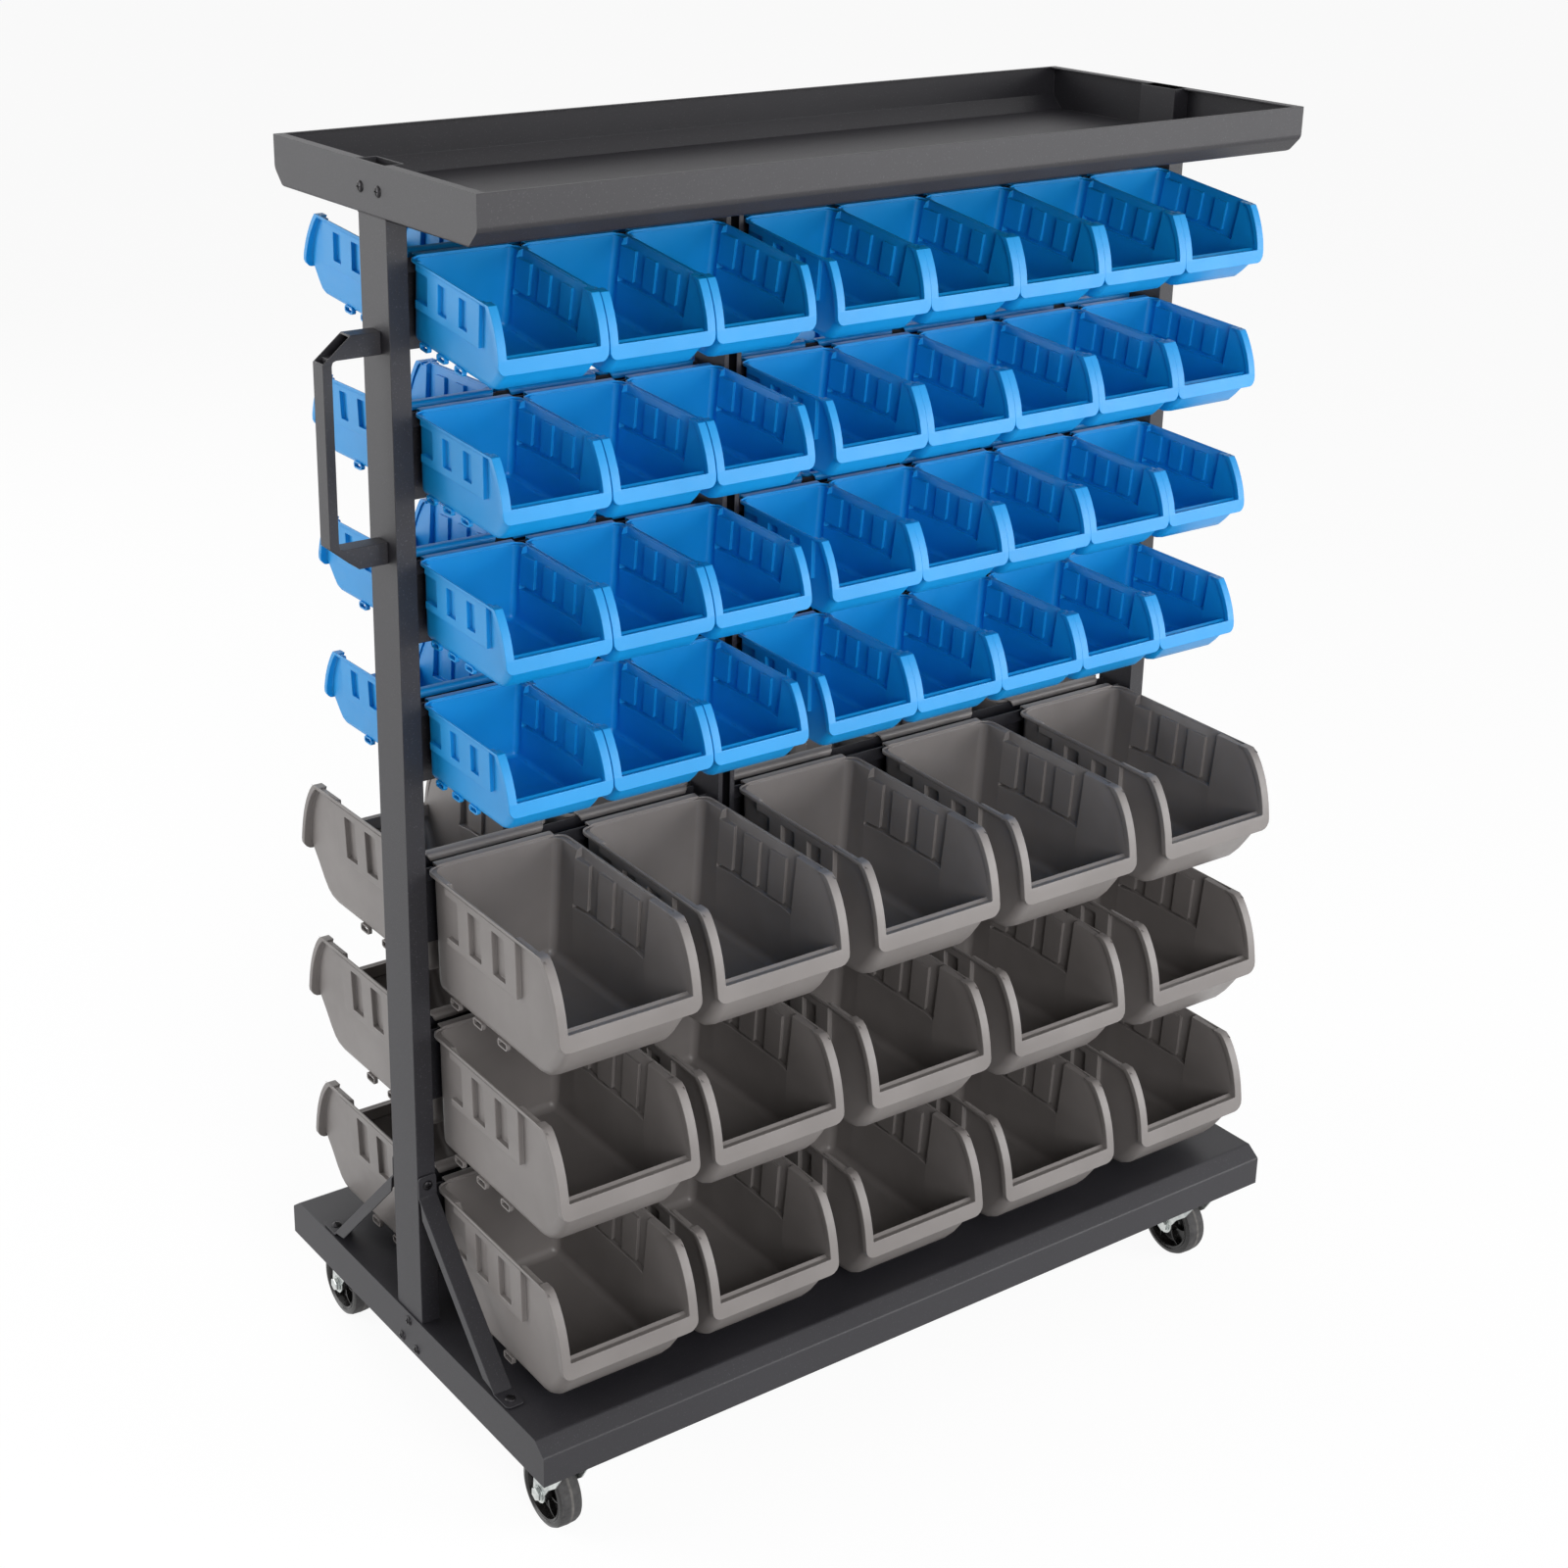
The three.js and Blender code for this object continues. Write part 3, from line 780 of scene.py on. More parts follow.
@dataclass(frozen=True)
class Rubber(Patchy):
    """Matt moulded rubber with dust in its grain."""

    patches: Noise = (140.0, 4.0, 0.65)
    tones: Pair = (0.35, 0.7)
    gloss: Pair = (0.62, 0.25)
    relief: Pair = (0.0003, 0.5)


@dataclass(frozen=True)
class HubGloss(Patchy):
    """Black gloss on moulded hubs, with a faint haze."""


@dataclass(frozen=True)
class BlackedSteel(Patchy):
    """Blacked steel on screws, with a faint haze."""

    gloss: Pair = (0.26, 0.12)
    metallic: float = 0.7


class Finishes:
    """The finishes of the cart, made once each."""

    def __init__(self) -> None:
        """Make them all, the patchy ones from a darker and a paler colour."""
        blue = colour(6, 144, 214), colour(16, 152, 224)
        grey = colour(120, 115, 113), colour(132, 127, 125)
        tread = colour(46, 45, 46), colour(76, 75, 75)
        seam = colour(70, 68, 67), colour(108, 105, 102)
        hub = colour(16, 15, 15), colour(30, 28, 27)
        screw = colour(28, 27, 29), colour(52, 50, 53)
        self.coat = PowderCoat().make()
        self.blue = MouldedPlastic("blue_plastic", *blue).make()
        self.grey = MouldedPlastic("warm_grey_plastic", *grey).make()
        self.zinc = ZincPlate().make()
        self.tread = Rubber("tread_rubber", *tread).make()
        self.seam = Rubber("tread_parting_line", *seam).make()
        self.hub = HubGloss("black_hub_gloss", *hub).make()
        self.screw = BlackedSteel("blacked_screw", *screw).make()


def dress(piece: bpy.types.Object, material: bpy.types.Material) -> None:
    """Give a piece its only material.

    Args:
        piece: The piece.
        material: The finish.
    """
    piece.data.materials.clear()
    piece.data.materials.append(material)


@dataclass(frozen=True)
class BinSizes:
    """One kind of bin. Outlines run forward from the hanging plane and up from the rim's height.

    Attributes:
        belly: The outline from the back of the rim, under the floor, up to the mouth.
        mouth: The outline from the nose up the mouth's edge to the rim.
        relief: How far the rim and the bands stand out from the low walls.
        draw: How much each side wall leans in from the rim to the floor.
        band: The raised bands' start, end and foot.
        ledge: The steps, back and up, by which the sill turns into the bin.
        lug_shape: A lug ring's corner radius, its thickness and its rod's.
        lip: The hanging lip's steps, back and up, and the share of its width left after each.
    """

    kind: str
    slot: Slot
    width: float
    belly: Outline
    mouth: Outline
    wall: float
    relief: float
    draw: float
    corner: float
    rim_depth: float
    band: tuple[float, float, float]
    pockets: Sequence[Pair]
    pocket_heights: Pair
    frame_width: float
    frame_depth: float
    sill: float
    lugs: Sequence[float]
    lug_length: float
    lug_drop: float
    edge: float
    ledge: Sequence[Pair]
    lug_shape: tuple[float, float, float] = (2.6, 4.0, 1.6)
    lug_inset: float = 1.2
    rim_proud: float = 0.6
    lip: Sequence[Point] = (
        (4.8, 0.0, 1.0), (1.3, -0.6, 0.995), (0.7, -1.4, 0.99), (0.1, -3.6, 0.97),
    )
    lip_inset: float = 12.0

    @property
    def height(self) -> float:
        """The depth of the bin below its rim."""
        return -min(z for _, z in self.belly)

    @property
    def half(self) -> float:
        """Half the width across the low walls, at the rim's height."""
        return self.width / 2 - self.relief


SMALL_BIN = BinSizes(
    kind="small",
    slot=Slot.BLUE,
    width=109.5,
    belly=((0.6, 0.0), (0.6, -76.5), (130.0, -76.5), (137.5, -74.0), (144.5, -66.5)),
    mouth=(
        (153.6, -55.0), (152.0, -43.0), (149.0, -32.5), (144.4, -22.0), (138.6, -12.0),
        (132.6, -4.0), (126.5, 0.0),
    ),
    wall=1.5,
    relief=4.8,
    draw=3.0,
    corner=7.0,
    rim_depth=2.8,
    band=(12.0, 121.0, -42.5),
    pockets=((12.0, 33.0), (51.0, 66.0), (87.0, 101.0)),
    pocket_heights=(-35.0, -8.5),
    frame_width=8.6,
    frame_depth=5.2,
    sill=-42.0,
    lugs=(21.0, 51.0, 82.0),
    lug_length=15.0,
    lug_drop=3.5,
    edge=0.5,
    ledge=((3.2, 1.6), (1.0, -12.0)),
    lip_inset=5.0,
)
LARGE_BIN = BinSizes(
    kind="large",
    slot=Slot.GREY,
    width=154.0,
    belly=(
        (0.6, 0.0), (0.6, -131.0), (188.0, -131.0), (199.0, -129.0), (208.5, -123.5),
        (218.0, -112.5), (227.5, -98.0),
    ),
    mouth=(
        (236.0, -83.5), (234.6, -72.0), (231.6, -56.0), (227.0, -40.0), (220.4, -25.0),
        (212.0, -12.0), (204.0, -4.0), (196.0, 0.0),
    ),
    wall=2.0,
    relief=5.8,
    draw=5.0,
    corner=11.0,
    rim_depth=3.6,
    band=(36.0, 163.0, -64.0),
    pockets=((36.0, 58.0), (78.0, 100.0), (121.0, 143.0)),
    pocket_heights=(-57.0, -12.0),
    frame_width=10.0,
    frame_depth=6.0,
    sill=-66.5,
    lugs=(37.0, 80.0, 125.0),
    lug_length=17.0,
    lug_drop=4.2,
    edge=0.7,
    ledge=((3.6, 2.4), (1.0, -13.0)),
)


@dataclass
class BinMould:
    """Models one kind of bin, at the hanging plane and with its rim at 0.

    Attributes:
        frame_start: How far the frame's ring starts off the mouth.
        knee_share: The share of the corner's radius below which the frame bends into its knee.
        mouth_normal: The bounds of a mouth face's normal, along Y and Z.
        sill_reach: How far above the sill its own edge may lie.
    """

    sizes: BinSizes
    corner_steps: int = 4
    mouth_steps: int = 2
    lug_steps: int = 2
    edge_steps: int = 2
    edge_angle: float = 40.0
    shade_angle: float = 50.0
    frame_start: float = 0.05
    knee_share: float = 0.9
    mouth_normal: Pair = (-0.3, -0.05)
    sill_reach: float = 1.0
    bench: Bench = field(init=False)

    def make(self) -> bpy.types.Object:
        """Model the shell, then hang its lugs.

        Returns:
            The bin's pattern piece, in metres.
        """
        name = f"{self.sizes.kind}_bin_pattern"
        self.bench = Bench(name)
        self._block()
        self._round_corners()
        self._bands()
        self._rim()
        self._frame()
        self._hanging_lip()
        self._wall()
        shell = self.bench.finish(self.shade_angle)
        lugs = [self._lug(hand, forward) for hand in (-1, 1) for forward in self.sizes.lugs]
        return joined([shell, *lugs], name)

    def _block(self) -> None:
        """Draw the side outline, draw it out across the bin and open its top."""
        sizes, bench = self.sizes, self.bench
        mouth = (sizes.mouth[0], *curve(sizes.mouth[1:], self.mouth_steps))
        outline = [(-forward, z) for forward, z in (*sizes.belly, *mouth)]
        bench.prism(outline, Axis.X, -sizes.half, 2 * sizes.half)
        bench.pick(lambda face: face.normal.z > SQUARE_ON and face.calc_center_median().z > -TINY)
        bench.drop_picked()

    def _round_corners(self) -> None:
        """Round the upright back corners and the whole underside's edges."""
        sizes, bench = self.sizes, self.bench
        foot = sizes.mouth[0][1] + TINY
        back = -sizes.belly[0][0] - TINY

        def wanted(a: Vector, b: Vector) -> bool:
            """Tell an edge of the underside or of the back corners.

            Args:
                a: The edge's one end.
                b: Its other end.

            Returns:
                Whether it is one.
            """
            on_side = abs(abs(a.x) - sizes.half) < TINY and abs(a.x - b.x) < TINY
            upright = a.y > back and b.y > back
            under = a.z < foot and b.z < foot
            across = upright and a.z < -sizes.height + TINY and b.z < -sizes.height + TINY
            return (on_side and (upright or under)) or across

        bench.pick_edges(wanted)
        bench.round_picked(sizes.corner, self.corner_steps)

    def _bands(self) -> None:
        """Raise the rim and the stacking bands on the sides, with the pockets left low."""
        sizes, bench = self.sizes, self.bench
        start, end, foot = sizes.band
        low, high = sizes.pocket_heights
        rim = -sizes.rim_depth

        def sideways(face: bmesh.types.BMFace) -> bool:
            """Tell a face of a side or of an upright back corner."""
            normal = face.normal
            return abs(normal.x) > UPRIGHT and abs(normal.z) < UPRIGHT and normal.y > -UPRIGHT

        def raised(face: bmesh.types.BMFace) -> bool:
            """Tell a face of the rim, or of a band outside its pockets.

            Args:
                face: The face.

            Returns:
                Whether it is one.
            """
            centre = face.calc_center_median()
            forward = -centre.y
            in_band = start < forward < end and foot < centre.z
            in_pocket = low < centre.z < high and any(a < forward < b for a, b in sizes.pockets)
            return sideways(face) and (centre.z > rim or (in_band and not in_pocket))

        bench.pick(sideways)
        bench.cut(1, [-start, -end, *(-edge for pocket in sizes.pockets for edge in pocket)])
        bench.cut(2, (rim,))
        bench.pick(lambda face: sideways(face) and start < -face.calc_center_median().y < end)
        bench.cut(2, (high, low, foot))
        for hand in (-1, 1):
            bench.pick(lambda face, hand=hand: raised(face) and face.normal.x * hand > 0)
            bench.extrude((hand * (sizes.relief - sizes.rim_proud), 0.0, 0.0))
            bench.drop_flaps()

    def _rim(self) -> None:
        """Let a narrow rim stand proud round the sides and back, then draw the walls in."""
        sizes, bench = self.sizes, self.bench

        def wanted(face: bmesh.types.BMFace) -> bool:
            """Tell an upright face above the rim's foot, on the sides or the back."""
            upright = face.normal.y > -UPRIGHT and abs(face.normal.z) < UPRIGHT
            return upright and face.calc_center_median().z > -sizes.rim_depth

        bench.pick(lambda face: face.normal.y > SQUARE_ON and abs(face.normal.z) < UPRIGHT)
        bench.cut(2, (-sizes.rim_depth,))
        bench.pick(wanted)
        bench.swell(sizes.rim_proud)
        bench.put_in_order()
        bench.modifier(
            "SIMPLE_DEFORM",
            deform_method="TAPER",
            deform_axis="Z",
            lock_y=True,
            factor=sizes.draw / (sizes.width / 2),
        )

    def _frame(self) -> None:
        """Open the mouth and build the frame that is left round it out to the full width."""
        sizes, bench = self.sizes, self.bench
        opening = sizes.width / 2 - sizes.frame_width
        foot = sizes.mouth[0][1]

        def front(face: bmesh.types.BMFace) -> bool:
            """Tell a face of the mouth.

            Args:
                face: The face.

            Returns:
                Whether it is one.
            """
            ahead = -face.calc_center_median().y > sizes.mouth[-1][0]
            back, down = self.mouth_normal
            return ahead and face.normal.y < back and face.normal.z > down

        side = sizes.half + TINY
        bench.pick(lambda face: front(face) and abs(face.calc_center_median().x) > side)
        bench.drop_picked()
        bench.pick(front)
        bench.cut(0, (-opening, opening))
        bench.cut(2, (sizes.sill,))

        def open_part(face: bmesh.types.BMFace) -> bool:
            """Tell a face inside the mouth's opening."""
            centre = face.calc_center_median()
            return front(face) and abs(centre.x) < opening and centre.z > sizes.sill

        bench.pick(open_part)
        bench.drop_picked()
        bench.pick(front)
        bench.swell(self.frame_start)
        ring = {tuple(vertex.co) for vertex in bench.picked_vertices()}
        bend = foot + self.knee_share * sizes.corner
        wide = sizes.width / 2
        outset = wide - sizes.half * (1.0 + foot / sizes.height * sizes.draw / wide)
        inner = wide - outset - sizes.corner - TINY
        for hand in (-1, 1):
            def post(co: Vector, hand: int = hand) -> bool:
                """Tell a place in the frame's upright part, on this side."""
                return tuple(co) in ring and co.z > bend and co.x * hand > opening + TINY

            def knee(co: Vector, hand: int = hand) -> bool:
                """Tell a place in the frame's lower corner, on this side."""
                return tuple(co) in ring and co.z < bend and co.x * hand > inner

            bench.flatten(post, 0, hand * wide)
            bench.pick_vertices(knee)
            bpy.ops.transform.translate(value=(hand * outset, 0.0, 0.0))
        bench.pick(front)
        bench.swell(sizes.frame_depth, flaps=True)

        def sill_edge(a: Vector, b: Vector) -> bool:
            """Tell the back edge of the sill's own strip.

            Args:
                a: The edge's one end.
                b: Its other end.

            Returns:
                Whether it is that edge.
            """
            return all(
                tuple(v) in ring and abs(v.x) < opening + TINY
                and v.z < sizes.sill + self.sill_reach
                for v in (a, b)
            )

        bench.pick_edges(sill_edge)
        for step in sizes.ledge:
            bench.extrude((0.0, *step))
        bench.flatten(lambda co: co.z > TINY, 2, 0.0)

    def _hanging_lip(self) -> None:
        """Turn a lip back from the rim, down over the hook."""
        sizes, bench = self.sizes, self.bench
        side = sizes.width / 2 - sizes.lip_inset
        in_rim = -sizes.rim_depth
        bench.pick(lambda face: face.normal.y > SQUARE_ON and face.calc_center_median().z > in_rim)
        bench.cut(0, (-side, side))

        def top_edge(a: Vector, b: Vector) -> bool:
            """Tell the rim's back edge between the lip's ends."""
            return all(v.z > -TINY and v.y > -UPRIGHT and abs(v.x) < side + TINY for v in (a, b))

        bench.pick_edges(top_edge)
        for back, rise, share in sizes.lip:
            bench.extrude((0.0, back, rise))
            bpy.ops.transform.resize(value=(share, 1.0, 1.0), center_override=ORIGIN)

    def _wall(self) -> None:
        """Give the sheet its wall and its rounded edges, the same on each run."""
        wall = {"thickness": self.sizes.wall, "offset": -1.0, "use_even_offset": True}
        self.bench.put_in_order()
        self.bench.modifier("SOLIDIFY", **wall)
        self.bench.put_in_order()
        self.bench.soften(self.sizes.edge, self.edge_steps, self.edge_angle, clamp=False)

    def _lug(self, hand: int, forward: float) -> bpy.types.Object:
        """Make one ring lug under a side's edge.

        Args:
            hand: -1 for the left side, 1 for the right.
            forward: Its middle's distance from the hanging plane.

        Returns:
            The lug, in metres.
        """
        sizes = self.sizes
        radius, thick, rod = sizes.lug_shape
        side = sizes.half - sizes.draw - sizes.lug_inset
        ring = rounded((sizes.lug_length / 2, sizes.lug_drop), radius, self.lug_steps)
        outline = [(u - forward, v - sizes.height) for u, v in ring]
        bench = Bench("lug")
        bench.prism(outline, Axis.X, hand * (side - thick / 2), hand * thick)
        bench.pick(lambda face: abs(face.normal.x) > SQUARE_ON)
        bpy.ops.mesh.inset(thickness=rod)
        bpy.ops.mesh.bridge_edge_loops()
        return bench.finish(self.shade_angle)


@dataclass(frozen=True)
class RowPlan:
    """One row of bins in one bay, on one side of the cart."""

    kind: str
    row: int
    side: str
    bay: str

    @property
    def node(self) -> str:
        """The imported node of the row."""
        return f"{self.kind}_row_{self.row}_{self.side}_{self.bay}"


@dataclass
class Racking:
    """The hanging strips and all the bins on them. Lengths in millimetres.

    Attributes:
        bin_back: How far a bin's hanging plane lies from the middle of the deck.
        hook_edge: How far that plane lies in front of the hook's edge.
        end_fit: How far a strip's end lies from the bay's end.
        small_margins: The room before the first and after the last small bin of each bay.
        loose_lift: How much higher a bin that lifts off stands than the others.
        large_shares: The shares of a bay's spare room that lie before each of its large bins.
        nods: How far each front row leans forward on its hook, in degrees.
        back_nods: The same for the back rows.
    """

    finishes: Finishes
    bin_back: float = 16.0
    hook_edge: float = 3.25
    lip_thickness: float = 1.8
    end_fit: float = 0.3
    small_margins: dict[str, Pair] = field(
        default_factory=lambda: {"left": (5.0, 0.3), "right": (3.6, 0.3)}
    )
    loose_lift: float = 0.6
    small_counts: dict[str, int] = field(default_factory=lambda: {"left": 3, "right": 5})
    large_shares: dict[str, tuple[float, ...]] = field(
        default_factory=lambda: {"left": (0.12, 0.61), "right": (0.08, 0.36, 0.46)}
    )
    nods: dict[str, tuple[float, ...]] = field(
        default_factory=lambda: {"small": (7.6, 4.0, 3.0, 2.0), "large": (1.6, 1.6, 1.6)}
    )
    back_nods: dict[str, tuple[float, ...]] = field(
        default_factory=lambda: {"small": (-5.0, 0.0, 0.0, 0.0), "large": (0.0, 0.0, 0.0)}
    )
    strip_height: float = 85.0
    sheet: float = 1.5
    hook_rise: float = 12.5
    hook_reach: float = 12.0
    end_gap: float = 5.0
    tab_height: float = 21.0
    tab_reach: float = 14.0
    strip_edge: float = 0.3

    def build(self) -> None:
        """Make every strip and bin and seat them on the cart."""
        patterns = {}
        for sizes in (SMALL_BIN, LARGE_BIN):
            patterns[sizes.kind] = BinMould(sizes).make()
            material = self.finishes.blue if sizes.slot is Slot.BLUE else self.finishes.grey
            dress(patterns[sizes.kind], material)
            faces = len(patterns[sizes.kind].data.polygons)
            log.info("modelled the %s bin of %d faces", sizes.kind, faces)
        for kind, nods in self.nods.items():
            for row in range(1, len(nods) + 1):
                for bay in ("left", "right"):
                    for side in ("front", "back"):
                        self._row(patterns[kind], RowPlan(kind, row, side, bay))
        for pattern in patterns.values():
            cleared(pattern)

    def _row(self, pattern: bpy.types.Object, plan: RowPlan) -> None:
        """Make one row's strip and bins.

        Args:
            pattern: The bin.
            plan: Where the row is.
        """
        low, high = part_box(plan.node)
        middle = (low.x + high.x) / 2 / MM
        length = (high.x - low.x) / MM + 2 * self.end_fit
        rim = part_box(f"{plan.kind}_row_{plan.row}_back_{plan.bay}")[1].z / MM
        turn = Matrix.Rotation(math.pi if plan.side == "back" else 0.0, 4, "Z")
        seat = METRES @ Matrix.Translation((middle, middle_of_deck(), rim)) @ turn
        strip = self._strip(f"strip_{plan.node}", length, seat)
        stand_in(strip, "cart", plan.node)
        nods = self.nods if plan.side == "front" else self.back_nods
        nod = nods[plan.kind][plan.row - 1]
        for number, x in enumerate(self._places(plan, length), 1):
            loose = plan.side == "front" and plan.row == 1 and plan.bay == "left" and number == 1
            hung = self._hang(x, nod, self.loose_lift if loose else 0.0)
            name = f"{plan.kind}_bin_{plan.side}_{plan.bay}_{plan.row}_{number}"
            piece = copied(pattern, name, seat @ hung @ MILLIMETRES)
            if loose:
                stand_in(piece, f"liftoff_{plan.kind}", f"liftoff_{plan.kind}_bin")
            else:
                stand_in(piece, "cart", plan.node)
        log.info("hung %s", plan.node)

    def _places(self, plan: RowPlan, length: float) -> list[float]:
        """Place the bins along a bay: the small ones evenly, the large ones by shares of the room.

        Args:
            plan: Where the row is.
            length: The bay's length.

        Returns:
            The bins' centres, from the bay's middle.
        """
        if plan.kind == "small":
            count = self.small_counts[plan.bay]
            start, end = self.small_margins[plan.bay]
            first = start + SMALL_BIN.width / 2 - length / 2
            pitch = (length - start - end - SMALL_BIN.width) / (count - 1)
            return [first + pitch * i for i in range(count)]
        shares = self.large_shares[plan.bay]
        room = length - len(shares) * LARGE_BIN.width
        places, edge = [], -length / 2
        for share in shares:
            places.append(edge + share * room + LARGE_BIN.width / 2)
            edge = places[-1] + LARGE_BIN.width / 2
        return places

    def _hang(self, x: float, nod: float, lift: float) -> Matrix:
        """Return a bin's place on its hook.

        Args:
            x: Its centre along the bay.
            nod: How far it leans forward on the hook's edge, in degrees.
            lift: How far it stands off the hook.

        Returns:
            The place, in millimetres.
        """
        to_hook = Matrix.Translation((0.0, -self.hook_edge, self.lip_thickness))
        lean = Matrix.Rotation(math.radians(nod), 4, "X")
        back = Matrix.Translation((x, self.hook_edge - self.bin_back, lift - self.lip_thickness))
        return back @ lean @ to_hook

    def _strip(self, name: str, length: float, seat: Matrix) -> bpy.types.Object:
        """Fold one strip: web, shelf and hook, with a tab and a foot at each end.

        Args:
            name: Its name.
            length: The bay's length.
            seat: The bay's place at the row's rim height.

        Returns:
            The strip, in metres.
        """
        half = length / 2 - self.end_fit
        hook_top = self.end_fit - self.lip_thickness
        shelf = hook_top - self.hook_rise
        tab_top = self.tab_height - self.strip_height
        bench = Bench(name)
        web = -self.sheet
        hook = [(-self.hook_reach, shelf), (-self.hook_reach, hook_top)]
        bench.trace([(web, -self.strip_height), (web, shelf), *hook], Axis.X, -half, closed=False)
        bpy.ops.mesh.select_all(action="SELECT")
        bench.extrude((2 * half, 0.0, 0.0))
        bench.pick(lambda face: True)
        bench.cut(0, (-half + self.end_gap, half - self.end_gap))
        bench.cut(2, (tab_top,))

        def past_end(face: bmesh.types.BMFace) -> bool:
            """Tell a face beyond the web's ends, above the tabs."""
            centre = face.calc_center_median()
            return abs(centre.x) > half - self.end_gap and centre.z > tab_top

        bench.pick(past_end)
        bench.drop_picked()
        for hand in (-1, 1):
            def tab_edge(a: Vector, b: Vector, hand: int = hand) -> bool:
                """Tell the upright edge of the tab at this end."""
                return all(abs(v.x - hand * half) < TINY and v.z < tab_top + TINY for v in (a, b))

            bench.pick_edges(tab_edge)
            bench.extrude((0.0, web - self.tab_reach + self.sheet, 0.0))
        bpy.ops.mesh.select_all(action="SELECT")
        bench.modifier("SOLIDIFY", thickness=self.sheet, offset=0.0, use_even_offset=True)
        bench.soften(self.strip_edge, 1)
        piece = bench.finish()
        piece.data.transform(seat @ MILLIMETRES)
        dress(piece, self.finishes.coat)
        return piece


@dataclass
class Framework:
    """The base, tray, posts, handle and braces, with their screws. Lengths in millimetres.

    Attributes:
        bends: Each pan's long outer bends, in from its side and up from its underside.
        bend_setback: How far each pan's bends reach along the sheets.
        near: How close an edge lies to the place that is looked for.
        recess: The cross recess's reach, half its slot's width and its depth.
        tray_screws: Places on each end, across from the middle and up from the tray's underside.
        base_screws: Places on each end, across from the middle and up from the deck.
        brace_top: A brace's upper screw, out from the middle and up from the brace's top.
        brace_foot: Its lower screw, out from the brace's reach and up from the deck.
    """

    finishes: Finishes
    folded: tuple[str, ...] = (
        "base_deck", "top_tray", "post_left", "post_right", "post_centre", "push_handle",
        "brace_front_left", "brace_front_right", "brace_back_left", "brace_back_right",
    )
    fold_radius: float = 0.6
    fold_steps: int = 2
    fold_angle: float = 20.0
    shade_angle: float = 30.0
    bends: dict[str, tuple[Pair, ...]] = field(default_factory=lambda: {
        "top_tray": ((0.0, 15.6), (15.3, 0.0)), "base_deck": ((0.0, 32.0), (16.0, 44.0)),
    })
    bend_setback: dict[str, float] = field(
        default_factory=lambda: {"top_tray": 3.4, "base_deck": 1.6}
    )
    bend_steps: int = 5
    tab_corner: float = 4.5
    tab_steps: int = 4
    near: float = 0.05
    head_radius: float = 5.4
    head_height: float = 2.2
    head_steps: int = 20
    dome_steps: int = 2
    dome_shares: Outline = ((1.0, 0.0), (0.93, 0.45), (0.6, 0.9), (0.0, 1.0))
    recess: tuple[float, float, float] = (3.1, 0.65, 1.3)
    tray_screws: Outline = ((-16.0, 23.0), (16.0, 23.0))
    base_screws: Outline = ((0.0, -9.5), (-15.0, -35.5), (15.0, -35.5))
    brace_top: Pair = (27.3, -11.0)
    brace_foot: Pair = (-12.0, 2.3)

    def build(self) -> None:
        """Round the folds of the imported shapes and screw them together."""
        for node in self.folded:
            bench = Bench.copy_of(node, f"{node}_folded")
            if node in self.bends:
                self._round_bends(bench, node)
            if node.startswith("brace"):
                self._round_tabs(bench, node)
            bench.soften(self.fold_radius, self.fold_steps, self.fold_angle)
            piece = bench.finish(self.shade_angle)
            dress(piece, self.finishes.coat)
            stand_in(piece, "cart", node)
            log.info("folded %s", node)
        self._screws()

    def _round_bends(self, bench: Bench, node: str) -> None:
        """Round the long outer bends of a pan.

        Args:
            bench: The bench that the pan is on.
            node: The pan's node.
        """
        low, high = (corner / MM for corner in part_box(node))
        middle, side = (low.y + high.y) / 2, (high.y - low.y) / 2
        for inset, rise in self.bends[node]:

            def on_bend(a: Vector, b: Vector, inset: float = inset, rise: float = rise) -> bool:
                """Tell an edge that runs along the bend.

                Args:
                    a: The edge's one end.
                    b: Its other end.
                    inset: How far the bend lies in from the pan's side.
                    rise: How far it lies above the pan's underside.

                Returns:
                    Whether it does.
                """
                return all(
                    abs(abs(v.y - middle) - side + inset) < self.near
                    and abs(v.z - low.z - rise) < self.near
                    for v in (a, b)
                )

            count = bench.pick_edges(on_bend)
            log.info("rounded %d edges of a bend of %s", count, node)
            if count:
                bench.round_picked(self.bend_setback[node], self.bend_steps)

    def _round_tabs(self, bench: Bench, node: str) -> None:
        """Round the corners of a brace's two tabs.

        Args:
            bench: The bench that the brace is on.
            node: The brace's node.
        """
        near = self.near
        low, high = (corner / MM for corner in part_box(node))
        middle = middle_of_deck()
        reach = max(abs(low.y - middle), abs(high.y - middle))

        def on_corner(a: Vector, b: Vector) -> bool:
            """Tell a short edge through the sheet, at the end of a tab.

            Args:
                a: The edge's one end.
                b: Its other end.

            Returns:
                Whether it is one.
            """
            at_side = abs(a.x - b.x) < near and min(abs(a.x - low.x), abs(a.x - high.x)) < near
            at_foot = all(abs(abs(v.y - middle) - reach) < near for v in (a, b))
            at_top = all(abs(v.z - high.z) < near for v in (a, b))
            foot = at_foot and abs(a.z - b.z) > near
            top = at_top and abs(a.y - b.y) > near
            return at_side and (foot or top)

        count = bench.pick_edges(on_corner)
        log.info("rounded %d corners of %s", count, node)
        if count:
            bench.round_picked(self.tab_corner, self.tab_steps)

    def _screws(self) -> None:
        """Put a screw at each joint of the sheets."""
        pattern = self._screw()
        for name, places in self._screw_places().items():
            copies = [
                copied(pattern, f"{name}_{i}", METRES @ place @ MILLIMETRES)
                for i, place in enumerate(places)
            ]
            screws = joined(copies, name)
            dress(screws, self.finishes.screw)
            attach(screws, "cart")
        cleared(pattern)

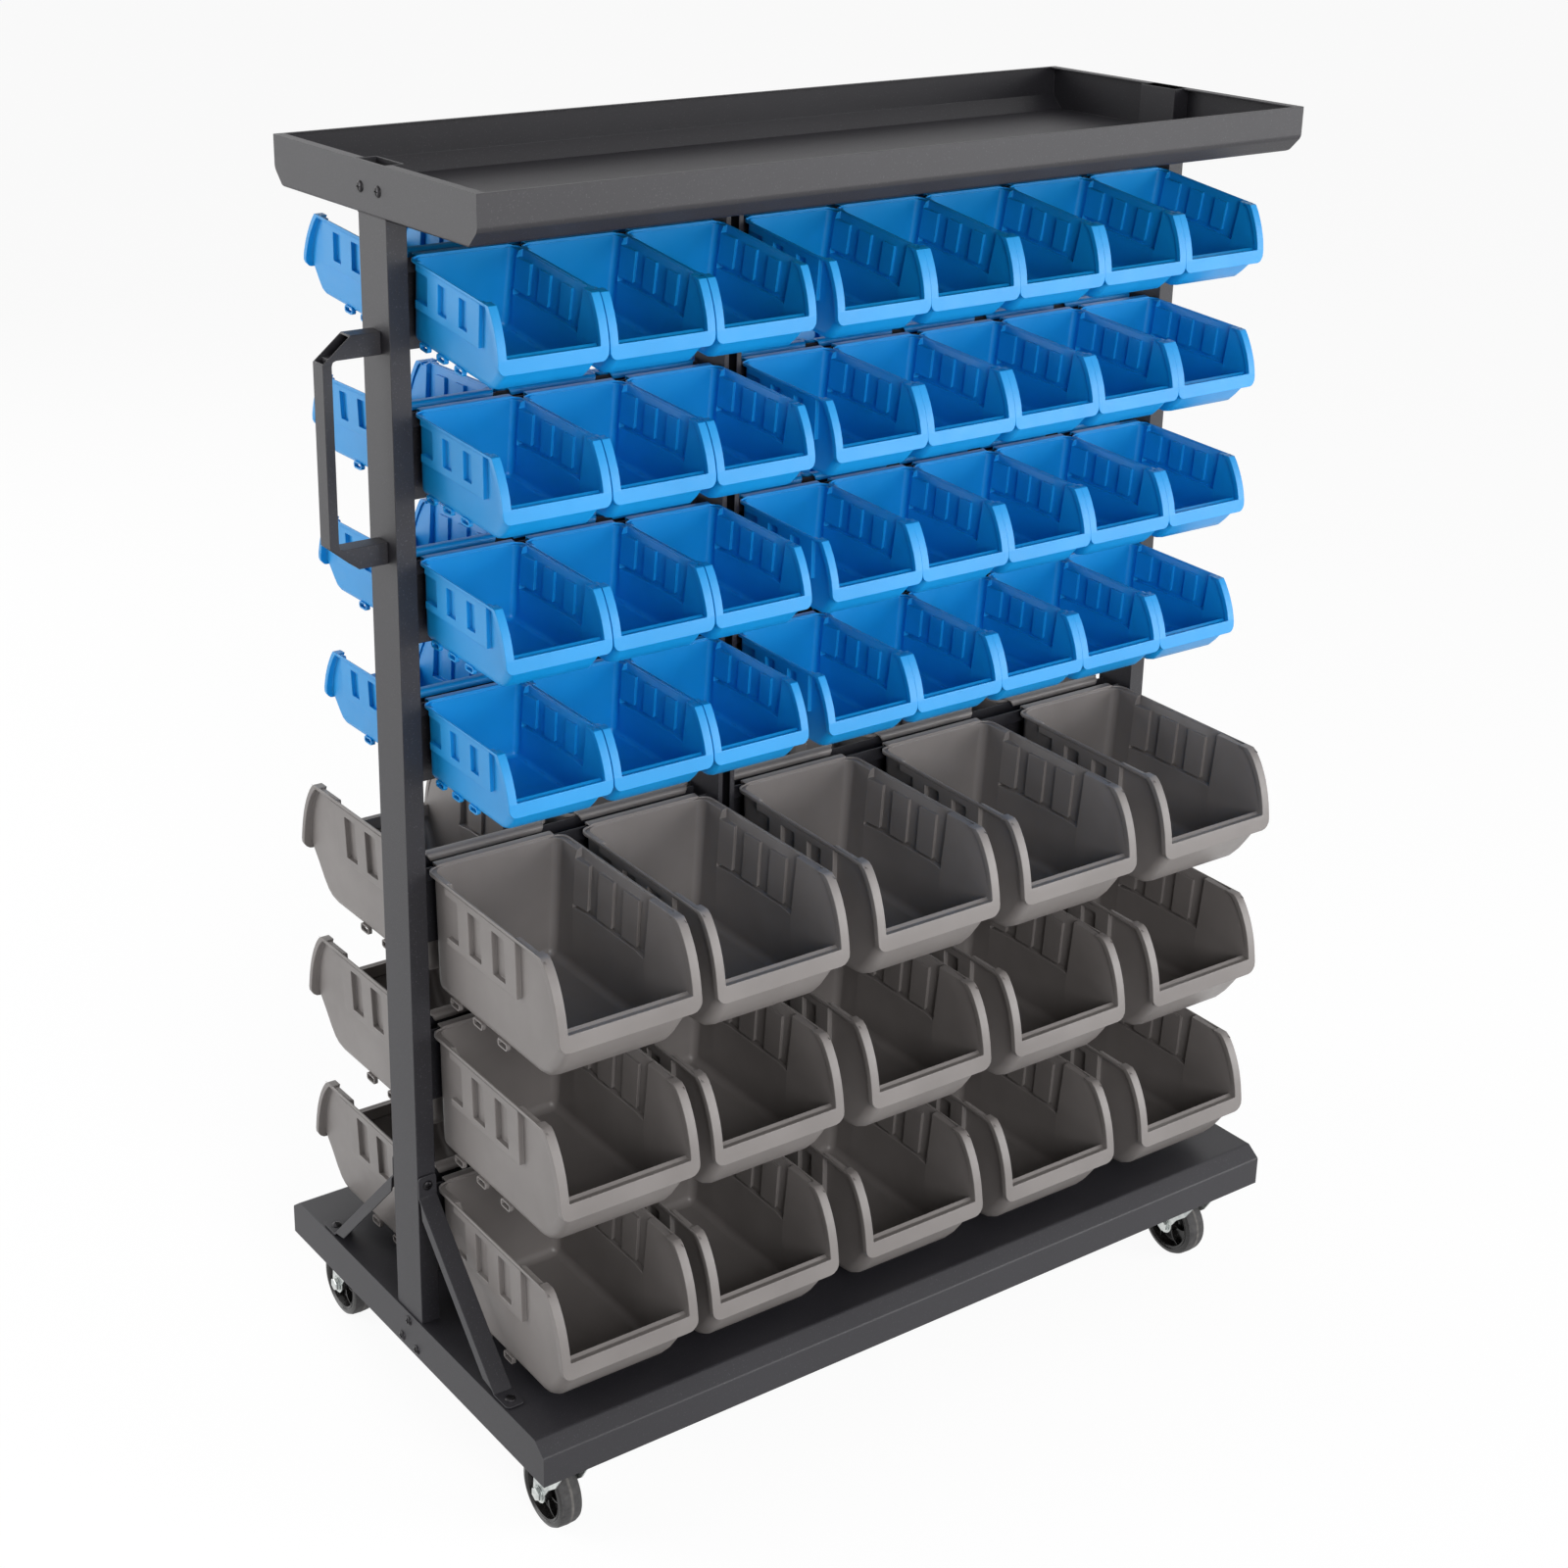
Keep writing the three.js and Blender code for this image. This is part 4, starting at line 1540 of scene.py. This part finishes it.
    def _screw(self) -> bpy.types.Object:
        """Turn one domed head with a cross recess.

        Returns:
            The head, in metres, its seat at 0 and its dome upwards.
        """
        reach, half, depth = self.recess
        quarter = [(reach, -half), (reach, half), (half, half)]
        cross = list(quarter)
        for _ in range(3):
            quarter = [(-y, x) for x, y in quarter]
            cross += quarter
        driver = Bench("driver_tip")
        driver.prism(cross, Axis.Z, self.head_height - depth, 2 * depth)
        bpy.ops.object.mode_set(mode="OBJECT")
        dome = [(self.head_radius * u, self.head_height * v) for u, v in self.dome_shares]
        bench = Bench("screw_pattern")
        bench.turn([(0.0, 0.0), *curve(dome, self.dome_steps)], self.head_steps)
        bench.modifier("BOOLEAN", object=driver.piece, operation="DIFFERENCE", solver="EXACT")
        head = bench.finish()
        cleared(driver.piece)
        return head

    def _screw_places(self) -> dict[str, list[Matrix]]:
        """Place the screws of the tray, the base and the braces.

        Returns:
            Each group's name with its screws' places, in millimetres.
        """
        ends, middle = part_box("base_deck"), middle_of_deck()
        floor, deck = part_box("top_tray")[0].z / MM, ends[1].z / MM
        groups: dict[str, list[Matrix]] = {}
        for end, x, facing in (("left", ends[0].x / MM, -1), ("right", ends[1].x / MM, 1)):
            outward = Matrix.Rotation(facing * math.pi / 2, 4, "Y")
            sheets = (("tray", self.tray_screws, floor), ("base", self.base_screws, deck))
            for sheet, spots, height in sheets:
                groups[f"{sheet}_screws_{end}"] = [
                    Matrix.Translation((x, middle + y, height + z)) @ outward for y, z in spots
                ]
            for side, hand in (("front", -1), ("back", 1)):
                low, high = (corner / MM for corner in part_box(f"brace_{side}_{end}"))
                post = (low.x + high.x) / 2
                reach = max(abs(low.y - middle), abs(high.y - middle)) + self.brace_foot[0]
                top = (post, middle + hand * self.brace_top[0], high.z + self.brace_top[1])
                foot = (post, middle + hand * reach, deck + self.brace_foot[1])
                groups[f"brace_screws_{side}_{end}"] = [
                    Matrix.Translation(top) @ Matrix.Rotation(-hand * math.pi / 2, 4, "X"),
                    Matrix.Translation(foot),
                ]
        return groups


@dataclass
class Casters:
    """The four swivel casters. Lengths in millimetres, from the caster's own middle on the floor.

    Attributes:
        trail: How far the wheel's axle lies behind the swivel.
        tyre_edge: The tyre's section, in from its side and from its radius.
        tyre_seam: The parting line's section, out from the middle and in from the radius.
        hub_edge: The hub's rim, in from the tyre's side and from the rim's radius.
        hub_web: The web's foot, out from the middle and in from the rim's radius.
        hub_throat: The web's root, out from the middle, with its radii.
        hub_boss: The boss, in from the tyre's side, with its radii.
        fork_back: A leg's back edge, along Y and down from the fork's top.
        fork_front: Its front edge, from the axle's eye up.
        crown: The crown's section, out from the swivel and down from the fork's top.
        race: The bearing race's section, out from the swivel and up from the plate's underside.
        kingpin: The kingpin's section, measured as the race's.
        eye_turn: The first and the last angle of the round end of a leg, in degrees.
        wheel_angle: Faces of the wheel that meet flatter than this are shaded as one.
        round_angle: The same for the other turned pieces.
    """

    finishes: Finishes
    radius: float = 38.0
    width: float = 25.0
    trail: float = 23.0
    seam_half: float = 1.4
    shoulder: float = 1.1
    tyre_edge: Outline = ((1.0, 8.0), (0.0, 6.6), (0.0, 4.4), (1.2, 1.8), (4.2, 0.5))
    tyre_seam: Outline = ((1.4, 0.1), (0.7, 0.0))
    tyre_steps: int = 56
    wheel_angle: float = 35.0
    hub_drop: float = 7.8
    hub_edge: Outline = ((0.6, 0.0), (0.2, 1.0), (1.0, 2.4))
    hub_web: Outline = ((3.0, 5.0), (2.4, 8.0))
    hub_throat: Outline = ((2.4, 14.0), (4.0, 11.0))
    hub_boss: Outline = ((-0.4, 9.2), (-0.9, 8.4), (-0.9, 4.3))
    round_steps: int = 48
    round_angle: float = 30.0
    spokes: int = 6
    spoke_line: Outline = ((9.0, 0.0), (15.0, 2.0), (21.0, 1.4), (29.0, -3.0))
    spoke_steps: int = 3
    spoke_half: float = 0.8
    spoke_edge: float = 0.3
    spoke_reach: Pair = (2.0, 6.0)
    sheet_edge: float = 0.5
    fork_sheet: float = 2.2
    fork_top: float = 97.2
    fork_inside: float = 13.8
    fork_back: Outline = ((-20.0, 0.0), (-21.0, 7.0), (-19.0, 16.0), (-8.0, 34.0), (5.0, 45.2))
    fork_front: Outline = ((32.5, 47.2), (28.0, 29.2), (25.0, 12.0), (25.0, 0.0))
    eye_radius: float = 10.5
    eye_turn: Pair = (165.0, 360.0)
    eye_steps: int = 12
    crown: Outline = (
        (5.4, 2.2), (15.8, 2.2), (24.0, 2.6), (24.6, 1.0), (23.6, 0.0), (13.8, 0.0), (5.4, 0.0),
    )
    axle_seat: float = 16.3
    axle_radius: float = 4.0
    axle_over: float = 0.4
    washer: Pair = (8.2, 0.9)
    washer_steps: int = 32
    shaft_steps: int = 24
    nut_radii: Pair = (7.2, 6.2)
    nut_sides: int = 6
    nut_length: float = 4.2
    nut_bevel: float = 0.8
    plate_half: float = 30.0
    plate_corner: float = 7.0
    corner_steps: int = 4
    plate_foot: float = 103.2
    plate_sheet: float = 2.5
    race: Outline = (
        (0.0, 0.5), (23.0, 0.5), (22.6, -2.0), (20.5, -4.5), (19.0, -5.6), (0.0, -5.6),
    )
    kingpin: Outline = (
        (0.0, -5.6), (5.0, -5.6), (5.0, -8.5), (9.0, -8.5), (8.4, -10.8), (6.6, -11.5),
        (0.0, -11.5),
    )

    def build(self) -> None:
        """Make each piece once and copy it to the corners."""
        plans = (
            ("tyre", self._tyre(), "wheel_{}", "caster_wheel_{}"),
            ("hub", self._hub(), "wheel_{}", "caster_wheel_{}"),
            ("fork", self._fork(), "caster_{}", "caster_fork_{}"),
            ("axle", self._axle(), "caster_{}", "caster_axle_{}"),
            ("plate", self._plate(), "cart", "caster_plate_{}"),
        )
        for corner in ("front_left", "front_right", "back_left", "back_right"):
            low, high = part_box(f"caster_plate_{corner}")
            middle = ((low.x + high.x) / 2 / MM, (low.y + high.y) / 2 / MM, 0.0)
            seat = METRES @ Matrix.Translation(middle) @ MILLIMETRES
            for name, pattern, body, node in plans:
                piece = copied(pattern, f"{name}_{corner}", seat)
                stand_in(piece, body.format(corner), node.format(corner))
            log.info("fitted the %s caster", corner)
        for _, pattern, _, _ in plans:
            cleared(pattern)

    def _turned(self, name: str, outline: Outline, steps: int) -> Bench:
        """Turn an outline round the wheel's axle.

        Args:
            name: The piece's name.
            outline: Its places along the axle, with their radii.
            steps: How many steps make the turn.

        Returns:
            The bench with the piece.
        """
        bench = Bench(name)
        spots = [(x, self.radius + r) for x, r in outline]
        bench.turn(spots, steps, (0.0, 0.0, self.radius), (1.0, 0.0, 0.0))
        bpy.ops.mesh.select_all(action="SELECT")
        bpy.ops.transform.translate(value=(0.0, self.trail, 0.0))
        return bench

    def _tyre(self) -> bpy.types.Object:
        """Turn the tread with round shoulders and a parting line.

        Returns:
            The tyre, in metres.
        """
        r, w = self.radius, self.width / 2
        half = [(w - inset, r - drop) for inset, drop in self.tyre_edge]
        half += [(x, r - drop) for x, drop in self.tyre_seam]
        left = [(-x, height) for x, height in half]
        bench = self._turned("tyre_pattern", [*left, *reversed(half), left[0]], self.tyre_steps)
        tyre = bench.finish(self.wheel_angle)
        dress(tyre, self.finishes.tread)
        tyre.data.materials.append(self.finishes.seam)
        tyre.data.materials.append(self.finishes.hub)
        for face in tyre.data.polygons:
            out = abs(face.center.x) / MM
            face.material_index = 1 if out < self.seam_half else 2 if out > w - self.shoulder else 0
        return tyre

    def _hub(self) -> bpy.types.Object:
        """Turn the hub: rim, web and boss, with curved spokes on both sides.

        Returns:
            The hub, in metres.
        """
        r, w = self.radius - self.hub_drop, self.width / 2
        half = [(w - inset, r - drop) for inset, drop in self.hub_edge]
        half += [(x, r - drop) for x, drop in self.hub_web]
        half += [*self.hub_throat, *((w - inset, radius) for inset, radius in self.hub_boss)]
        outline = [*half, *((-x, height) for x, height in reversed(half)), half[0]]
        hub = self._turned("hub_pattern", outline, self.round_steps).finish(self.wheel_angle)
        spokes = [self._spoke(number, hand) for number in range(self.spokes) for hand in (-1, 1)]
        hub = joined([hub, *spokes], "hub_pattern")
        dress(hub, self.finishes.hub)
        return hub

    def _spoke(self, number: int, hand: int) -> bpy.types.Object:
        """Draw one curved spoke.

        Args:
            number: Which of the spokes.
            hand: The side of the web.

        Returns:
            The spoke, in metres.
        """
        line = curve(self.spoke_line, self.spoke_steps)
        outline = [(u, v + self.spoke_half) for u, v in line]
        outline += [(u, v - self.spoke_half) for u, v in reversed(line)]
        start, depth = self.spoke_reach
        bench = Bench(f"spoke_{number}")
        bench.prism(outline, Axis.X, hand * start, hand * depth)
        bench.soften(self.spoke_edge, 1)
        spoke = bench.finish()
        turn = Matrix.Rotation(math.tau * number / self.spokes, 4, "X")
        move = Matrix.Translation((0.0, self.trail * MM, self.radius * MM))
        spoke.data.transform(move @ turn)
        return spoke

    def _fork(self) -> bpy.types.Object:
        """Fold the fork: two legs that narrow to the axle, under a dished crown.

        Returns:
            The fork, in metres.
        """
        leg = [(y, self.fork_top - drop) for y, drop in self.fork_back]
        leg += arc((self.trail, self.radius), self.eye_radius, *self.eye_turn, self.eye_steps)
        leg += [(y, self.fork_top - drop) for y, drop in self.fork_front]
        parts = []
        for hand in (-1, 1):
            bench = Bench("fork_leg")
            bench.prism(leg, Axis.X, hand * self.fork_inside, hand * self.fork_sheet)
            bench.soften(self.sheet_edge)
            parts.append(bench.finish())
        bench = Bench("fork_crown")
        dish = [(out, self.fork_top - drop) for out, drop in self.crown]
        bench.turn([*dish, dish[0]], self.round_steps)
        parts.append(bench.finish())
        return self._plated(parts, "fork_pattern")

    def _axle(self) -> bpy.types.Object:
        """Turn the axle bolt, with a washer and a hexagon at each end.

        Returns:
            The bolt, in metres.
        """
        seat, over = self.axle_seat, self.axle_over
        side, thick = self.washer
        wide, narrow = self.nut_radii
        bevel, length = self.nut_bevel, self.nut_length
        washer = [(0.0, 0.0), (0.0, side), (thick, side), (thick, 0.0)]
        nut = [(bevel, 0.0), (bevel, wide), (length - bevel, wide), (length, narrow), (length, 0.0)]
        shaft = [(over, 0.0), (over, self.axle_radius)]
        pieces = [("shaft", [(-seat - x, h) for x, h in shaft]
                   + [(seat + x, h) for x, h in reversed(shaft)], self.shaft_steps)]
        for hand in (-1, 1):
            pieces += [
                ("washer", [(hand * (seat + x), h) for x, h in washer], self.washer_steps),
                ("hexagon", [(hand * (seat + x), h) for x, h in nut], self.nut_sides),
            ]
        parts = [
            self._turned(name, outline, steps).finish(self.round_angle)
            for name, outline, steps in pieces
        ]
        return self._plated(parts, "axle_pattern")

    def _plate(self) -> bpy.types.Object:
        """Stamp the top plate with its bearing race and kingpin.

        Returns:
            The plate, in metres.
        """
        bench = Bench("plate_sheet")
        outline = rounded((self.plate_half, self.plate_half), self.plate_corner, self.corner_steps)
        bench.prism(outline, Axis.Z, self.plate_foot, self.plate_sheet)
        bench.soften(self.sheet_edge)
        parts = [bench.finish()]
        for name, section, steps in (
            ("race", self.race, self.round_steps), ("kingpin", self.kingpin, self.washer_steps),
        ):
            bench = Bench(name)
            bench.turn([(out, self.plate_foot + rise) for out, rise in section], steps)
            parts.append(bench.finish(self.round_angle))
        return self._plated(parts, "plate_pattern")

    def _plated(self, parts: list[bpy.types.Object], name: str) -> bpy.types.Object:
        """Join parts into one zinc plated piece.

        Args:
            parts: The parts.
            name: The piece's name.

        Returns:
            The piece.
        """
        piece = joined(parts, name)
        dress(piece, self.finishes.zinc)
        return piece


@dataclass(frozen=True)
class Softbox:
    """A square lamp: where it hangs and points, its side in metres and its power in watts."""

    name: str
    place: Point
    target: Point
    side: float
    power: float

    def hang(self) -> None:
        """Hang it in the scene."""
        data = bpy.data.lights.new(self.name, "AREA")
        data.size = self.side
        data.energy = self.power
        lamp = bpy.data.objects.new(self.name, data)
        lamp.location = self.place
        lamp.rotation_mode = "QUATERNION"
        ahead = Vector(self.target) - Vector(self.place)
        lamp.rotation_quaternion = ahead.to_track_quat("-Z", "Y")
        bpy.context.scene.collection.objects.link(lamp)


@dataclass
class Studio:
    """A pale floor, soft light and the camera. Lengths in metres.

    Attributes:
        ambient: The world's strength on the object. It is white to the camera and in gloss.
        floor_glow: The strength of the white that the floor shows.
        floor_share: How much of the floor is that white. The rest keeps the shadows.
    """

    camera_place: Point = (-1.45445, -1.9382, 1.6581)
    camera_right: Point = (0.82156968, -0.57002177, 0.00992154)
    camera_up: Point = (0.19325919, 0.29483169, 0.93580188)
    focal_pixels: float = 2577.5
    image_pixels: float = 1600.0
    centre_pixels: Pair = (708.0, 686.0)
    sensor: float = 36.0
    ambient: float = 0.22
    floor_side: float = 80.0
    floor_colour: Colour = (0.9, 0.9, 0.9, 1.0)
    floor_glow: float = 1.05
    floor_share: float = 0.88
    lamps: tuple[Softbox, ...] = (
        Softbox("key_softbox", (-1.0, -3.4, 1.8), (0.0, 0.0, 0.9), 1.6, 62.0),
        Softbox("front_panel", (2.6, -3.2, 1.25), (0.0, 0.0, 0.7), 2.4, 92.0),
        Softbox("left_panel", (-2.8, 1.8, 1.3), (0.0, 0.0, 0.8), 2.4, 60.0),
        Softbox("back_softbox", (-0.3, 3.8, 2.6), (0.0, 0.0, 0.6), 2.0, 30.0),
    )

    def build(self) -> None:
        """Set up the whole studio."""
        self._camera()
        self._world()
        self._floor()
        for lamp in self.lamps:
            lamp.hang()
        bpy.context.scene.view_settings.view_transform = "Standard"

    def _camera(self) -> None:
        """Place the camera as the fitted view has it."""
        data = bpy.data.cameras.new("camera")
        camera = bpy.data.objects.new("camera", data)
        bpy.context.scene.collection.objects.link(camera)
        right, up = Vector(self.camera_right), Vector(self.camera_up)
        turn = Matrix((right, up, right.cross(up))).transposed()
        camera.rotation_mode = "QUATERNION"
        camera.rotation_quaternion = turn.to_quaternion()
        camera.location = self.camera_place
        data.sensor_width = self.sensor
        data.lens = self.focal_pixels / self.image_pixels * self.sensor
        half = self.image_pixels / 2
        data.shift_x = (half - self.centre_pixels[0]) / self.image_pixels
        data.shift_y = (self.centre_pixels[1] - half) / self.image_pixels
        bpy.context.scene.camera = camera

    def _world(self) -> None:
        """Light the world plainly, and show it white to the camera, gloss and glass."""
        world = bpy.data.worlds.new("studio")
        bpy.context.scene.world = world
        graph = Graph(world)
        seen = graph.ray("Camera") | graph.ray("Glossy") | graph.ray("Transmission")
        inputs = {"Value": seen, "To Min": self.ambient, "To Max": 1.0}
        background = graph.tree.nodes["Background"].inputs
        graph.feed(background["Color"], WHITE)
        graph.feed(background["Strength"], graph.node("ShaderNodeMapRange", {}, inputs))

    def _floor(self) -> None:
        """Lay a pale floor that looks white and keeps the cart's shadow."""
        bpy.ops.object.select_all(action="DESELECT")
        bpy.ops.mesh.primitive_plane_add(size=self.floor_side, location=ORIGIN)
        floor = bpy.context.object
        floor.name = "studio_floor"
        recipe = Recipe("pale_floor")
        recipe.set(Base_Color=self.floor_colour, Roughness=1.0, Specular_IOR_Level=0.0)
        glow = recipe.node("ShaderNodeEmission", {}, {"Strength": self.floor_glow})
        share = (recipe.ray("Camera") | recipe.ray("Glossy")) * self.floor_share
        inputs = {"Fac": share, 1: Value(recipe, recipe.shader.outputs[0]), 2: glow}
        mixed = recipe.node("ShaderNodeMixShader", {}, inputs)
        recipe.feed(recipe.tree.nodes["Material Output"].inputs["Surface"], mixed)
        floor.data.materials.append(recipe.material)


def main() -> None:
    """Build the studio and every sub-assembly."""
    logging.basicConfig(level=logging.INFO, format="%(name)s: %(message)s")
    Studio().build()
    finishes = Finishes()
    Racking(finishes).build()
    Framework(finishes).build()
    Casters(finishes).build()


if __name__ == "__main__":
    main()
